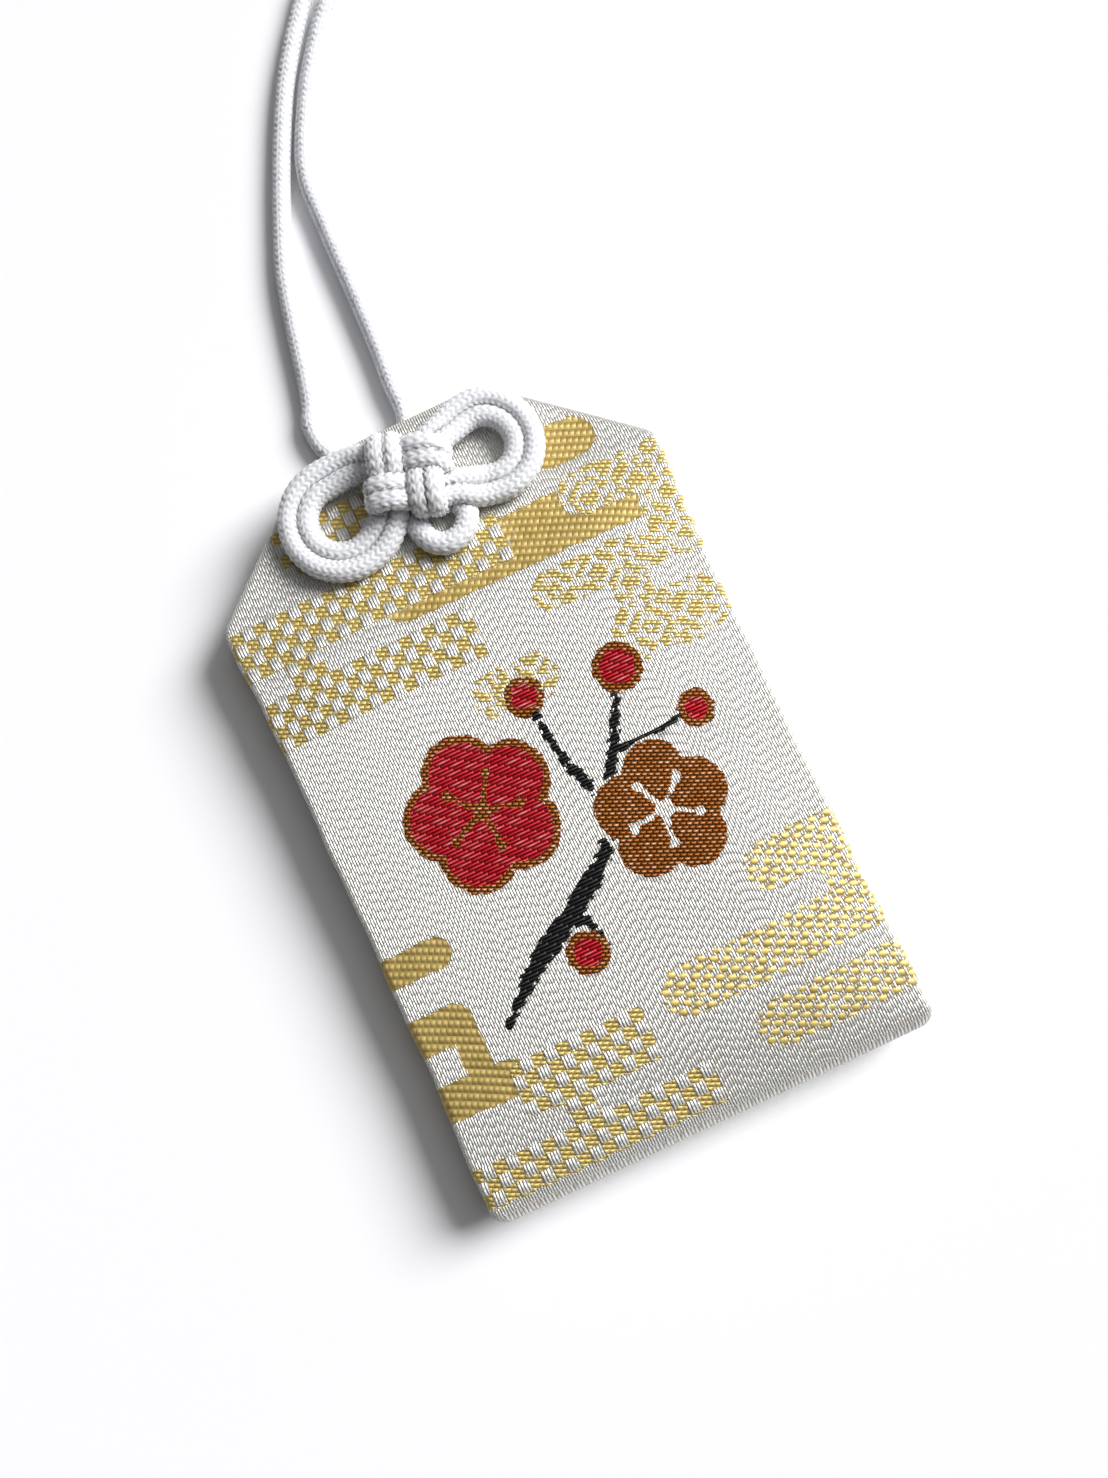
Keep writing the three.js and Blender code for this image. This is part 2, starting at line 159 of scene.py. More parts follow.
def back_level(y):
    return CORD_LIFT * smoothstep(y, Y_TOP - LIFT_BELOW[0], Y_TOP - LIFT_BELOW[1])


# Settings
class PouchSettings(bpy.types.PropertyGroup):
    """Colours of the brocade"""
    # Each yarn colour is partly the yarn's own colour and partly painted highlight on the tops of its floats;
    # each shade colour is painted shade in the gaps between its floats.
    satin: FloatVectorProperty(
        name="Satin", description="Ground of the cloth", subtype="COLOR", default=srgb(247, 246, 240))
    satin_shade: FloatVectorProperty(
        name="Satin shade", description="Between its floats", subtype="COLOR", default=srgb(196, 193, 186))
    gold: FloatVectorProperty(
        name="Gold", description="Woven gold yarn", subtype="COLOR", default=srgb(238, 214, 134))
    gold_shade: FloatVectorProperty(
        name="Gold shade", description="Between the gold floats", subtype="COLOR", default=srgb(140, 108, 40))
    red: FloatVectorProperty(
        name="Red", description="Red yarn of the blossoms", subtype="COLOR", default=srgb(226, 22, 42))
    red_shade: FloatVectorProperty(
        name="Red shade", description="Between the red floats", subtype="COLOR", default=srgb(126, 3, 14))
    bronze: FloatVectorProperty(
        name="Bronze", description="Bronze yarn of outlines", subtype="COLOR", default=srgb(200, 116, 30))
    bronze_shade: FloatVectorProperty(
        name="Bronze shade", description="Between bronze floats", subtype="COLOR", default=srgb(50, 23, 4))
    ink: FloatVectorProperty(
        name="Ink", description="Black yarn of the branch", subtype="COLOR", default=srgb(42, 41, 42))
    ink_shade: FloatVectorProperty(
        name="Ink shade", description="Between the black floats", subtype="COLOR", default=srgb(4, 4, 5))


class CordSettings(bpy.types.PropertyGroup):
    """Size and colour of the braided cord"""
    diameter: FloatProperty(
        name="Diameter", description="Cord from side to side", default=2.0 * MM, unit="LENGTH")
    stitch: FloatProperty(
        name="Stitch", description="Length of one stitch", default=0.68 * MM, unit="LENGTH")
    # The colour is the cord's own white on the tops of its stitches; the shade is painted shade in the gaps
    # between the stitches.
    colour: FloatVectorProperty(
        name="Colour", description="Tops of the stitches", subtype="COLOR", default=srgb(253, 253, 254))
    shade: FloatVectorProperty(
        name="Shade", description="Between the stitches", subtype="COLOR", default=srgb(196, 199, 212))


class StageSettings(bpy.types.PropertyGroup):
    """Light and floor"""
    floor: FloatVectorProperty(
        name="Floor", description="Colour of the floor", subtype="COLOR", default=srgb(252, 252, 254))
    window: FloatProperty(
        name="Window", description="Strength of the window light", default=4.35)
    ceiling: FloatProperty(
        name="Ceiling", description="Strength of the softer light from above", default=0.6)
    fill: FloatProperty(
        name="Fill", description="Strength of the light from all round", default=0.04)


# Node building
class Field:
    """A number on a surface, held as a node socket, that plain arithmetic makes further nodes from."""

    def __init__(self, tree, socket):
        self.tree = tree
        self.socket = socket

    def math(self, operation, *others):
        node = self.tree.nodes.new("ShaderNodeMath")
        node.operation = operation
        for socket, value in zip(node.inputs, (self, *others)):
            if isinstance(value, Field):
                self.tree.links.new(value.socket, socket)
            else:
                socket.default_value = value
        return Field(self.tree, node.outputs[0])

    def __add__(self, other):
        return self.math("ADD", other)

    def __sub__(self, other):
        return self.math("SUBTRACT", other)

    def __mul__(self, other):
        return self.math("MULTIPLY", other)

    def __truediv__(self, other):
        return self.math("DIVIDE", other)

    def __rsub__(self, other):
        return self.math("MULTIPLY_ADD", -1, other)

    __radd__ = __add__
    __rmul__ = __mul__

    def floor(self):
        return self.math("FLOOR")

    def fract(self):
        return self.math("FRACT")

    def hump(self, power):
        """Rises from 0 to 1 and falls to 0 again as the number goes from 0 to 1."""
        return (self * math.pi).math("SINE").math("MAXIMUM", 0).math("POWER", power)

    def within(self, soft=0.04):
        """1 where a signed distance is inside, 0 outside."""
        node = self.tree.nodes.new("ShaderNodeMapRange")
        node.interpolation_type = "SMOOTHSTEP"
        self.tree.links.new(self.socket, node.inputs["Value"])
        node.inputs["From Min"].default_value = soft
        node.inputs["From Max"].default_value = -soft
        return Field(self.tree, node.outputs["Result"])


def new_material(name, roughness):
    """A material whose shader is ready to be linked: the material, its tree and the shader."""
    material = bpy.data.materials.new(name)
    material.use_nodes = True
    shader = material.node_tree.nodes["Principled BSDF"]
    shader.inputs["Roughness"].default_value = roughness
    return material, material.node_tree, shader


def attribute(tree, name):
    node = tree.nodes.new("ShaderNodeAttribute")
    node.attribute_name = name
    return Field(tree, node.outputs["Fac"])


def colour_mix(tree, amount, low, high):
    """Two colours, each a tuple or a socket, mixed by a field."""
    node = tree.nodes.new("ShaderNodeMix")
    node.data_type = "RGBA"
    sockets = [s for s in node.inputs if s.type == "RGBA"]
    for socket, colour in zip(sockets, (low, high)):
        if isinstance(colour, bpy.types.NodeSocket):
            tree.links.new(colour, socket)
        else:
            socket.default_value = (*colour, 1)
    tree.links.new(amount.socket, node.inputs["Factor"])
    return next(s for s in node.outputs if s.type == "RGBA")


def number_mix(amount, low, high):
    return low + (high - low) * amount


def chance(tree, x, y):
    """A fixed random number for each pair of whole numbers."""
    joined = tree.nodes.new("ShaderNodeCombineXYZ")
    noise = tree.nodes.new("ShaderNodeTexWhiteNoise")
    noise.noise_dimensions = "2D"
    tree.links.new(x.socket, joined.inputs[0])
    tree.links.new(y.socket, joined.inputs[1])
    tree.links.new(joined.outputs[0], noise.inputs["Vector"])
    return Field(tree, noise.outputs["Value"])


def bump(tree, shader, height, distance):
    node = tree.nodes.new("ShaderNodeBump")
    node.inputs["Distance"].default_value = distance
    tree.links.new(height.socket, node.inputs["Height"])
    tree.links.new(node.outputs["Normal"], shader.inputs["Normal"])


def object_noise(tree, scale, detail=3.0, stretch=(1, 1, 1)):
    place = tree.nodes.new("ShaderNodeTexCoord")
    turn = tree.nodes.new("ShaderNodeMapping")
    turn.inputs["Scale"].default_value = stretch
    noise = tree.nodes.new("ShaderNodeTexNoise")
    noise.inputs["Scale"].default_value = scale
    noise.inputs["Detail"].default_value = detail
    tree.links.new(place.outputs["Object"], turn.inputs["Vector"])
    tree.links.new(turn.outputs["Vector"], noise.inputs["Vector"])
    return Field(tree, noise.outputs["Fac"])


# Cord
def smooth_route(points, step):
    """Evenly spaced points along the smooth curve through the given ones."""
    given = np.array(points, float)
    ends = (2 * given[0] - given[1], 2 * given[-1] - given[-2])
    p = np.vstack([ends[0], given, ends[1]])
    spans = np.sqrt(np.linalg.norm(np.diff(p, axis=0), axis=1))[:, None]
    t = np.linspace(0, 1, 25)[:-1, None]
    route = []
    for i in range(len(given) - 1):
        p0, p1, p2, p3 = p[i:i + 4]
        d0, d1, d2 = spans[i:i + 3]
        out = ((p1 - p0) / d0 - (p2 - p0) / (d0 + d1) + (p2 - p1) / d1) * d1
        into = ((p2 - p1) / d1 - (p3 - p1) / (d1 + d2) + (p3 - p2) / d2) * d1
        bend = -3 * p1 + 3 * p2 - 2 * out - into
        turn = 2 * p1 - 2 * p2 + out + into
        route.append(p1 + out * t + bend * t ** 2 + turn * t ** 3)
    return even_spacing(np.vstack([*route, given[-1:]]), step)


def even_spacing(path, step):
    along = np.concatenate([[0], np.cumsum(np.linalg.norm(np.diff(path, axis=0), axis=1))])
    count = int(round(along[-1] / step))
    at = np.linspace(0, along[-1], count + 1)
    return np.stack([np.interp(at, along, path[:, k]) for k in range(3)], axis=1)


def relaxed(path, reach, step):
    """The path with its sharp bends eased over about the given reach."""
    eased = path.copy()
    for _ in range(int(2 * (reach / step) ** 2)):
        eased[1:-1] = (eased[:-2] + 2 * eased[1:-1] + eased[2:]) / 4
    return eased


def knit(angle, along, stitch):
    """Height of a knitted cord, whose stitches are columns of Vs, and where a point lies across its yarn."""
    column = np.mod(KNIT_COLUMNS * angle / (2 * math.pi), 1)
    out = np.abs(2 * column - 1)
    across = np.mod(along / stitch - STITCH_LEAN * out, 1)
    leg = np.sin(math.pi * across) ** mix(1.0, 0.4, out)
    bow = np.sin(math.pi * mix(0.12, 0.94, out)) ** 0.5
    return leg * bow, across


def tube_frames(path):
    """Two directions square to the path at each point, carried along it without twist."""
    tangents = np.gradient(path, axis=0)
    tangents /= np.linalg.norm(tangents, axis=1)[:, None]
    normal = np.cross(tangents[0], (0.0, 1.0, 0.3))
    normals = []
    for tangent in tangents:
        normal = normal - tangent * (normal @ tangent)
        normal /= np.linalg.norm(normal)
        normals.append(normal)
    normals = np.array(normals)
    return normals, np.cross(tangents, normals)


def mesh_object(name, points, faces):
    mesh = bpy.data.meshes.new(name)
    mesh.from_pydata((points * MM).tolist(), [], faces)
    mesh.shade_smooth()
    piece = bpy.data.objects.new(name, mesh)
    bpy.context.scene.collection.objects.link(piece)
    return piece


def keep_attribute(mesh, name, values):
    mesh.attributes.new(name, "FLOAT", "POINT").data.foreach_set("value", values.ravel().astype(np.float32))


def knitted_cord(name, path, radius, stitch, flat=1.0, depth=STITCH_DEPTH):
    """A closed tube along the path with stitches of some depth, pressed to a share of its height."""
    count = len(path)
    sides = KNIT_COLUMNS * COLUMN_POINTS
    angle = np.arange(sides) * 2 * math.pi / sides
    along = np.concatenate([[0], np.cumsum(np.linalg.norm(np.diff(path, axis=0), axis=1))])
    height, across = knit(angle[None, :], along[:, None], stitch)
    normals, sideways = tube_frames(path)
    out = normals[:, None] * np.cos(angle)[None, :, None] + sideways[:, None] * np.sin(angle)[None, :, None]
    reach = np.broadcast_to(radius, count)[:, None] - np.broadcast_to(depth, count)[:, None] * (1 - height)
    skin = out * reach[..., None]
    skin[..., 2] *= np.broadcast_to(flat, count)[:, None]
    skin += path[:, None]
    points = np.vstack([skin.reshape(-1, 3), path[:1], path[-1:]])
    ring = np.arange(count - 1)[:, None] * sides
    here = np.arange(sides)[None, :]
    after = (here + 1) % sides
    corners = [ring + here, ring + sides + here, ring + sides + after, ring + after]
    quads = np.stack(corners, -1).reshape(-1, 4)
    last = (count - 1) * sides
    start_cap = [(k, count * sides, (k + 1) % sides) for k in range(sides)]
    end_cap = [(last + k, last + (k + 1) % sides, count * sides + 1) for k in range(sides)]
    piece = mesh_object(name, points, quads.tolist() + start_cap + end_cap)
    recalculate(piece)
    for key, values in (("stitch", height), ("across", across)):
        keep_attribute(piece.data, key, np.append(values, (0, 0)))
    return piece


def recalculate(piece):
    """Turns a closed piece's faces outwards."""
    bpy.ops.object.select_all(action="DESELECT")
    bpy.context.view_layer.objects.active = piece
    piece.select_set(True)
    bpy.ops.object.mode_set(mode="EDIT")
    bpy.ops.mesh.select_all(action="SELECT")
    bpy.ops.mesh.normals_make_consistent(inside=False)
    bpy.ops.object.mode_set(mode="OBJECT")
    piece.select_set(False)


def cord_material(settings):
    found = bpy.data.materials.get("knitted_cord")
    if found:
        return found
    material, tree, shader = new_material("knitted_cord", 0.5)
    height = attribute(tree, "stitch")
    fibre = (attribute(tree, "across") * 5).fract().hump(1.0)
    cloud = object_noise(tree, 900)
    # Painted shade: the cord darkens from its white towards the shade colour in the gaps between its stitches
    # as their height falls, with random tone from the noise.
    tone = number_mix(cloud, 0.85, 1.0) * height.math("POWER", 0.5)
    shader_colour = colour_mix(tree, tone, tuple(settings.shade), tuple(settings.colour))
    tree.links.new(shader_colour, shader.inputs["Base Color"])
    shader.inputs["Sheen Weight"].default_value = 0.25
    shader.inputs["Subsurface Weight"].default_value = 0.9
    shader.inputs["Subsurface Radius"].default_value = (1, 1, 1)
    shader.inputs["Subsurface Scale"].default_value = settings.diameter * 0.42
    bump(tree, shader, fibre * 0.6 + cloud, 0.00002)
    return material


# Knot, in its own frame: x and y from its middle, z above the pouch's front
LEFT_EAR = {"x": -7.5, "y": -0.65, "inner": (3.35, 3.45), "outer": (5.1, 5.2)}
RIGHT_EAR = {"x": 8.1, "y": -0.05, "inner": (2.9, 3.15), "outer": (4.62, 4.87)}
DIP = NEAR + 0.1
ENTRY = FAR + 1.0
KNOT_SQUEEZE = 0.75        # the layers of a tightened knot lie closer than two free cords
KNOT_DRAW = 0.77           # and so do its tracks
KNOT_TWIST = -18           # degrees that tightening turns its middle
KNOT_MIDDLE = (4.0, 6.0)   # how far out the cord is pressed fully, and not at all
KNOT_EASE = 0.4
# Width, flatness and depth of the stitches against the free cord, in the ears and in the pressed middle
KNOT_SWELL = (1.18, 1.22)
KNOT_FLAT = (0.82, 0.62)
KNOT_STITCH = (1, 1.7)
HOLE_HEIGHTS = (-1.8, -0.4, 0.6)


def ear_turn(ear, turn, start, end):
    angles = np.radians(np.linspace(start, end, 9))
    return [(ear["x"] + turn[0] * math.cos(t), ear["y"] + turn[1] * math.sin(t), EAR_REST) for t in angles]


def tight(points):
    """Points of the knot's middle, drawn together and turned as tightening does."""
    turn = math.radians(KNOT_TWIST)
    along, across = KNOT_DRAW * math.cos(turn), KNOT_DRAW * math.sin(turn)
    return [(along * x - across * y, across * x + along * y, z) for x, y, z in points]


def from_hole(x, side):
    """Up out of the hole to the top of a left track."""
    hole_x = HOLE[0] - KNOT[0] + side * PAIR_PITCH / 2
    hole_y = HOLE[1] - KNOT[1]
    end_x, end_y, _ = tight([(x, ENTRY, 0)])[0]
    return [
        *((hole_x, hole_y, z) for z in HOLE_HEIGHTS),
        (mix(hole_x, end_x, 0.4), mix(hole_y, end_y, 0.6), BACK_LAYER + 0.2),
        (mix(hole_x, end_x, 0.9), end_y + 0.2, UNDER_LAYER - 0.8),
    ]


def down_left(x):
    return tight([
        (x, ENTRY, MIDDLE_LAYER), (x, FAR, OVER_LAYER - 0.1), (x, DIP, OVER_LAYER),
        (x, 0, MIDDLE_LAYER), (x, -DIP, UNDER_LAYER), (x, -FAR, UNDER_LAYER),
    ])


def across_top(y):
    return tight([
        (-FAR, y, UNDER_LAYER), (-DIP, y, UNDER_LAYER), (0, y, MIDDLE_LAYER), (DIP, y, OVER_LAYER),
        (FAR, y, OVER_LAYER), (FAR + 0.7, y - 0.35, OVER_LAYER - 0.3),
        (FAR + 1.3, y - 0.7, MIDDLE_LAYER - 0.4), (FAR + 1.2, y - 0.8, UNDER_LAYER - 0.8),
    ])


def across_bottom(y):
    return tight([
        (-FAR - 0.9, y + 0.2, UNDER_LAYER - 0.8), (-FAR - 1.0, y + 0.1, MIDDLE_LAYER - 0.4),
        (-FAR - 0.5, y, OVER_LAYER - 0.3), (-FAR + 0.3, y, OVER_LAYER), (-DIP, y, OVER_LAYER),
        (0, y, MIDDLE_LAYER), (DIP, y, UNDER_LAYER), (FAR, y, UNDER_LAYER),
    ])


def down_right(x):
    return tight([
        (x, FAR, UNDER_LAYER), (x, DIP, UNDER_LAYER), (x, 0, MIDDLE_LAYER), (x, -DIP, OVER_LAYER),
        (x, -FAR + 0.3, OVER_LAYER), (x, -FAR - 0.5, OVER_LAYER - 0.3),
        (x, -FAR - 1.0, MIDDLE_LAYER - 0.4), (x, -FAR - 0.9, UNDER_LAYER - 0.8),
    ])


def behind(start, middle, end):
    """Across the knot's back, under everything."""
    return tight([(x, y, BACK_LAYER) for x, y in (start, middle, end)])


def knot_points():
    """The knot's cord from the left side of the hole to the right side of the hole."""
    small_loop = [
        (-0.4, -3.1, 1.0), (-1.1, -3.8, 1.0), (-1.1, -5.0, EAR_REST), (-0.5, -6.6, EAR_REST),
        (0.9, -7.4, EAR_REST), (2.6, -7.0, EAR_REST), (3.65, -5.7, EAR_REST), (3.6, -4.5, 1.0),
        (2.7, -3.5, 1.0),
    ]
    return [
        *from_hole(-FAR, -1), *down_left(-FAR), (-3.9, -2.4, 2.2), (-5.0, -3.2, 1.5),
        *ear_turn(LEFT_EAR, LEFT_EAR["inner"], -80, -275), (-5.0, 2.85, 1.5), (-3.4, 2.5, 2.2),
        *across_top(NEAR), *behind((3.6, NEAR - 0.9), (0, -1.05), (-3.6, 0.3 - FAR)),
        *across_bottom(-FAR), (3.4, -3.4, 2.5), (5.2, -4.4, 1.5),
        *ear_turn(RIGHT_EAR, RIGHT_EAR["outer"], -105, 75), (6.6, 4.4, 1.3), (4.8, 3.6, 1.7), (3.2, 2.9, 2.4),
        *down_right(NEAR), *small_loop, *down_right(FAR)[::-1], (4.4, 2.0, 2.3), (5.6, 2.4, 1.6),
        *ear_turn(RIGHT_EAR, RIGHT_EAR["inner"], 100, -115), (5.6, -2.6, 1.6), (3.9, -2.2, 2.4),
        *across_bottom(-NEAR)[::-1], *behind((-3.6, 0.6 - NEAR), (0, 0.85), (3.6, FAR - 0.6)),
        *across_top(FAR)[::-1], (-3.2, 4.1, 2.0), (-4.9, 4.6, 1.3),
        *ear_turn(LEFT_EAR, LEFT_EAR["outer"], 100, 290), (-4.2, -4.8, 1.3), (-2.9, -3.6, 1.9),
        *down_left(-NEAR)[::-1], *from_hole(-NEAR, 1)[::-1],
    ]


def on_pouch(points):
    """Knot points as places on the charm, with the knot's layers pressed together."""
    x, y, z = np.array(points).T
    pressed = np.where(z > EAR_REST, EAR_REST + (z - EAR_REST) * KNOT_SQUEEZE, z)
    return np.stack([KNOT[0] + x, KNOT[1] + y, front_level(KNOT[1] + y) + pressed], axis=1)


# Loop and tails, as in the part's source
TAIL_STARTS = {
    "left": [(0, -0.1, 3.6), (-0.1, 0.1, 2.4), (-0.9, 1.1, 1.35), (-2.3, 2.7, 1.05), (-3.8, 4.9, 1.05)],
    "right": [(0, -0.1, 3.6), (0.05, 0.1, 2.4), (0.5, 1.2, 1.35), (1.3, 2.9, 1.05), (2.05, 4.9, 1.05)],
}
LOOP_ENDS = {"left": -7.15, "right": 2.0}
LOOP_ROUTE = [
    (-6.5, 2.6), (-5.8, 5.2), (-4.5, 11.3), (-3.2, 16.7), (-1.1, 22.2), (1, 27.1), (4.8, 34.9), (7.6, 39.4),
    (10.7, 43.6), (14.2, 48.2), (17.2, 53.6), (19.6, 59.6), (21.9, 65.8), (26.3, 69.8), (31, 68),
    (31.6, 62.6), (28.4, 57), (23.7, 52), (18, 47.2), (12.8, 42.1), (9.7, 38.1), (6.9, 33.8), (3.3, 26),
    (2.8, 19.5), (2.6, 12), (2.3, 4.8),
]


def tail_points(side):
    """One tail from the front of the hole to the loop's hinge."""
    x = HOLE[0] + (-1 if side == "left" else 1) * PAIR_PITCH / 2
    start = (x, HOLE[1] - 0.1, front_level(HOLE[1]) + 0.05)
    through = [(x + dx, HOLE[1] + dy, z) for dx, dy, z in TAIL_STARTS[side]]
    return [start, *through, (LOOP_ENDS[side], SWING_Y - STRAIGHT_RUN, CORD_REST)]


def loop_points():
    """The whole free cord: up the left tail, round the loop and down the right tail."""
    loop = [(x, SWING_Y + y, CORD_REST) for x, y in LOOP_ROUTE]
    hinge = [(LOOP_ENDS[side], SWING_Y + STRAIGHT_RUN, CORD_REST) for side in ("left", "right")]
    return [*tail_points("left"), hinge[0], *loop, hinge[1], *tail_points("right")[::-1]]


# Pouch
def edge_wave(y):
    """A sewn edge is never quite straight."""
    return sum(height * np.sin(rate * y + start) for height, rate, start in EDGE_WAVES)


def rounded_off(from_end, radius):
    """How much a rounded corner takes off the width at a distance from the end."""
    short = np.clip(radius - from_end, 0, radius)
    return radius - np.sqrt(radius ** 2 - short ** 2)


def half_width(y):
    side = WIDTH / 2 + SIDE_OUT + SIDE_LEAN * y + edge_wave(y)
    lean = (WIDTH - TOP_EDGE) / 2 / SHOULDER_DROP
    shoulder = TOP_EDGE / 2 + SHOULDER_OUT + (Y_TOP - y) * lean
    blend = np.clip(0.5 + 0.5 * (shoulder - side) / SHOULDER_BLEND, 0, 1)
    width = mix(shoulder, side, blend) - SHOULDER_BLEND * blend * (1 - blend)
    return width - rounded_off(y - Y_BOTTOM, CORNER_ROUND) - rounded_off(Y_TOP - y, CORNER_ROUND / 2)


def grid_insets(half, spacing, radius):
    """Distances from an edge to the middle, close together where the cloth rolls over the edge."""
    quarter = radius * math.pi / 2
    roll = np.linspace(0, math.pi / 2, max(int(quarter / spacing), 8))
    flat = np.linspace(radius, half, int((half - radius) / spacing))
    return np.concatenate([radius * (1 - np.cos(roll)), flat[1:]])


def rolled_profile(inset, radius):
    over = 1 - np.clip(inset / radius, 0, 1)
    return np.sqrt(np.clip(1 - over ** 2, 0, 1))


def crown_profile(inset):
    return 1 - (1 - np.clip(inset / CROWN_REACH, 0, 1)) ** 2


def unrolled(place, inset, radius):
    """A place across the pouch, measured along the cloth that rolls over its edge."""
    near = np.clip(inset / radius, 0, 1)
    extra = radius * (math.pi / 2 - np.arccos(1 - near) - (1 - near))
    return place + np.sign(place) * extra


def along_cloth(points, axis, coordinate):
    """Places across or along the pouch, measured on the cloth from the middle of each row or column."""
    steps = np.linalg.norm(np.diff(points[..., [coordinate, 2]], axis=axis), axis=-1)
    run = np.insert(np.cumsum(steps, axis=axis), 0, 0, axis=axis)
    middle = [points.shape[axis] // 2]
    return run - np.take(run, middle, axis=axis) + np.take(points[..., coordinate], middle, axis=axis)


def pouch_grids(spacing):
    """Front and back of the pouch as grids of points, and the front's places measured on its cloth."""
    inset_y = grid_insets(HEIGHT / 2, spacing, END_ROUND)
    inset_x = grid_insets(WIDTH / 2, spacing, SIDE_ROUND)
    y = np.concatenate([Y_BOTTOM + inset_y, (Y_TOP - inset_y)[-2::-1]])[:, None]
    share = 1 - inset_x / (WIDTH / 2)
    share = np.concatenate([-share, share[-2::-1]])[None, :]
    width = half_width(y)
    slope = 1 / np.sqrt(1 + np.gradient(width[:, 0], y[:, 0])[:, None] ** 2)
    x = share * width
    from_side = (width - np.abs(x)) * np.maximum(slope, 0.6)
    from_end = np.minimum(y - Y_BOTTOM, Y_TOP - y) + 0 * x
    y = y + 0 * x
    roll = rolled_profile(from_side, SIDE_ROUND) * rolled_profile(from_end, END_ROUND)
    crown = crown_profile(from_side) * crown_profile(from_end)
    seam = mix(back_level(y), front_level(y), SEAM_SHARE)
    front = seam + (front_level(y) - seam) * mix(roll, crown, CROWN_SHARE)
    back = seam - (seam - back_level(y)) * roll
    cloth = np.stack([unrolled(x, from_side, SIDE_ROUND), unrolled(y, from_end, END_ROUND)], -1)
    return np.stack([x, y, front], -1), np.stack([x, y, back], -1), cloth


def pillow_faces(rows, columns):
    """Faces of a closed pillow of two grids that share their rim."""
    front = np.arange(rows * columns).reshape(rows, columns)
    back = front.copy()
    back[1:-1, 1:-1] = rows * columns + np.arange((rows - 2) * (columns - 2)).reshape(rows - 2, columns - 2)
    faces = []
    for index, order in ((front, (0, 1, 2, 3)), (back, (3, 2, 1, 0))):
        corners = (index[:-1, :-1], index[:-1, 1:], index[1:, 1:], index[1:, :-1])
        faces.append(np.stack([corners[k] for k in order], -1).reshape(-1, 4))
    return np.vstack(faces)


def pillow_points(front, back):
    return np.vstack([front.reshape(-1, front.shape[-1]), back[1:-1, 1:-1].reshape(-1, back.shape[-1])])


def grid_normals(points):
    normals = np.cross(np.gradient(points, axis=1), np.gradient(points, axis=0))
    return normals / np.maximum(np.linalg.norm(normals, axis=-1, keepdims=True), 1e-9)


# Signed distances of the pattern, in millimetres of cloth: negative inside
def bar(u, v, left, right, bottom, top, corner=None):
    """A bar with round ends."""
    half_x, half_y = (right - left) / 2, (top - bottom) / 2
    corner = min(half_x, half_y) if corner is None else corner
    dx = np.abs(u - (left + right) / 2) - half_x + corner
    dy = np.abs(v - (bottom + top) / 2) - half_y + corner
    outside = np.hypot(np.maximum(dx, 0), np.maximum(dy, 0))
    return outside + np.minimum(np.maximum(dx, dy), 0) - corner


def bars(u, v, boxes, corner=None):
    return np.min([bar(u, v, *box, corner) for box in boxes], axis=0)


def disc(u, v, x, y, radius):
    return np.hypot(u - x, v - y) - radius


def stroke(u, v, points):
    """A brush stroke through points of x, y and half width."""
    route = smooth_route(points, 0.4)
    return np.min([disc(u, v, *point) for point in route], axis=0)


def blossom(u, v, x, y, radius, turn):
    """Five round petals."""
    angles = np.radians(turn + 72 * np.arange(5))
    reach, petal = radius * 0.53, radius * 0.47
    middles = [(x + reach * math.cos(t), y + reach * math.sin(t)) for t in angles]
    return np.min([disc(u, v, *middle, petal) for middle in middles], axis=0)


def stamens(u, v, x, y, radius, turn):
    """Fine threads from a blossom's middle, each with a dot at its end, and the middle itself."""
    parts = [disc(u, v, x, y, radius * 0.13)]
    for t in np.radians(turn + 36 + 72 * np.arange(5)):
        tip = (x + radius * 0.5 * math.cos(t), y + radius * 0.5 * math.sin(t))
        parts.append(stroke(u, v, [(x, y, 0.26), ((x + tip[0]) / 2, (y + tip[1]) / 2, 0.26), (*tip, 0.26)]))
        parts.append(disc(u, v, *tip, 0.5))
    return np.min(parts, axis=0)


CHECK_CELL = (1.225, 1.265)
CHECK_PHASE = (0.5, -0.26)
# Two lattices of the weave: cells per millimetre across and along the cloth, and the start of the count
DOT_LATTICE = ((1.24, 0.44, 0), (-0.68, 0.64, 0.2))
DOT_SIZE = (0.53, 0.37)
ROSETTE_LATTICE = ((0.21, 0.2146, 0.83), (-0.21, 0.2146, 0.946))
ROSETTE_CELL = 3.3
CHECK_CLOUDS = [
    (-26, 6, 19.1, 24.1), (-18.8, -15, 14, 21), (-26, -0.2, 11.7, 16.6), (-15, -3.5, 27.4, 32.4),
    (-14.8, -1.4, -29.3, -23.2), (-12, -9, -33, -26), (-26, 2, -35.4, -30.9),
]
GOLD_CLOUDS = [
    (10.5, 17.8, 25.9, 30.1), (-8.4, 20.8, 17.8, 23.6), (-28, -15.6, -13.2, -10.2),
    (-28, -16.3, -20.1, -16.5), (-28, -13.5, -26.7, -23.1), (-19.2, -16.3, -25, -18),
]
ROSETTE_CLOUDS = [
    (11.6, 24, 20.2, 24.6), (5.2, 24, 12.8, 16.9), (10.6, 23, 4.8, 10.5), (-4, 4.6, 5.6, 10.1),
    (18.5, 24, 15, 21), (12.5, 16.5, 8, 14),
]
DOTTED_CLOUDS = [(12.2, 27, -19.6, -15), (0.3, 27, -26.7, -22), (7, 28, -33.1, -28.5), (18.8, 27, -25, -16)]


def check_counts(u, v):
    """How many check cells a place lies from the first, across and along the cloth."""
    return tuple(w / size + phase for w, size, phase in zip((u, v), CHECK_CELL, CHECK_PHASE))


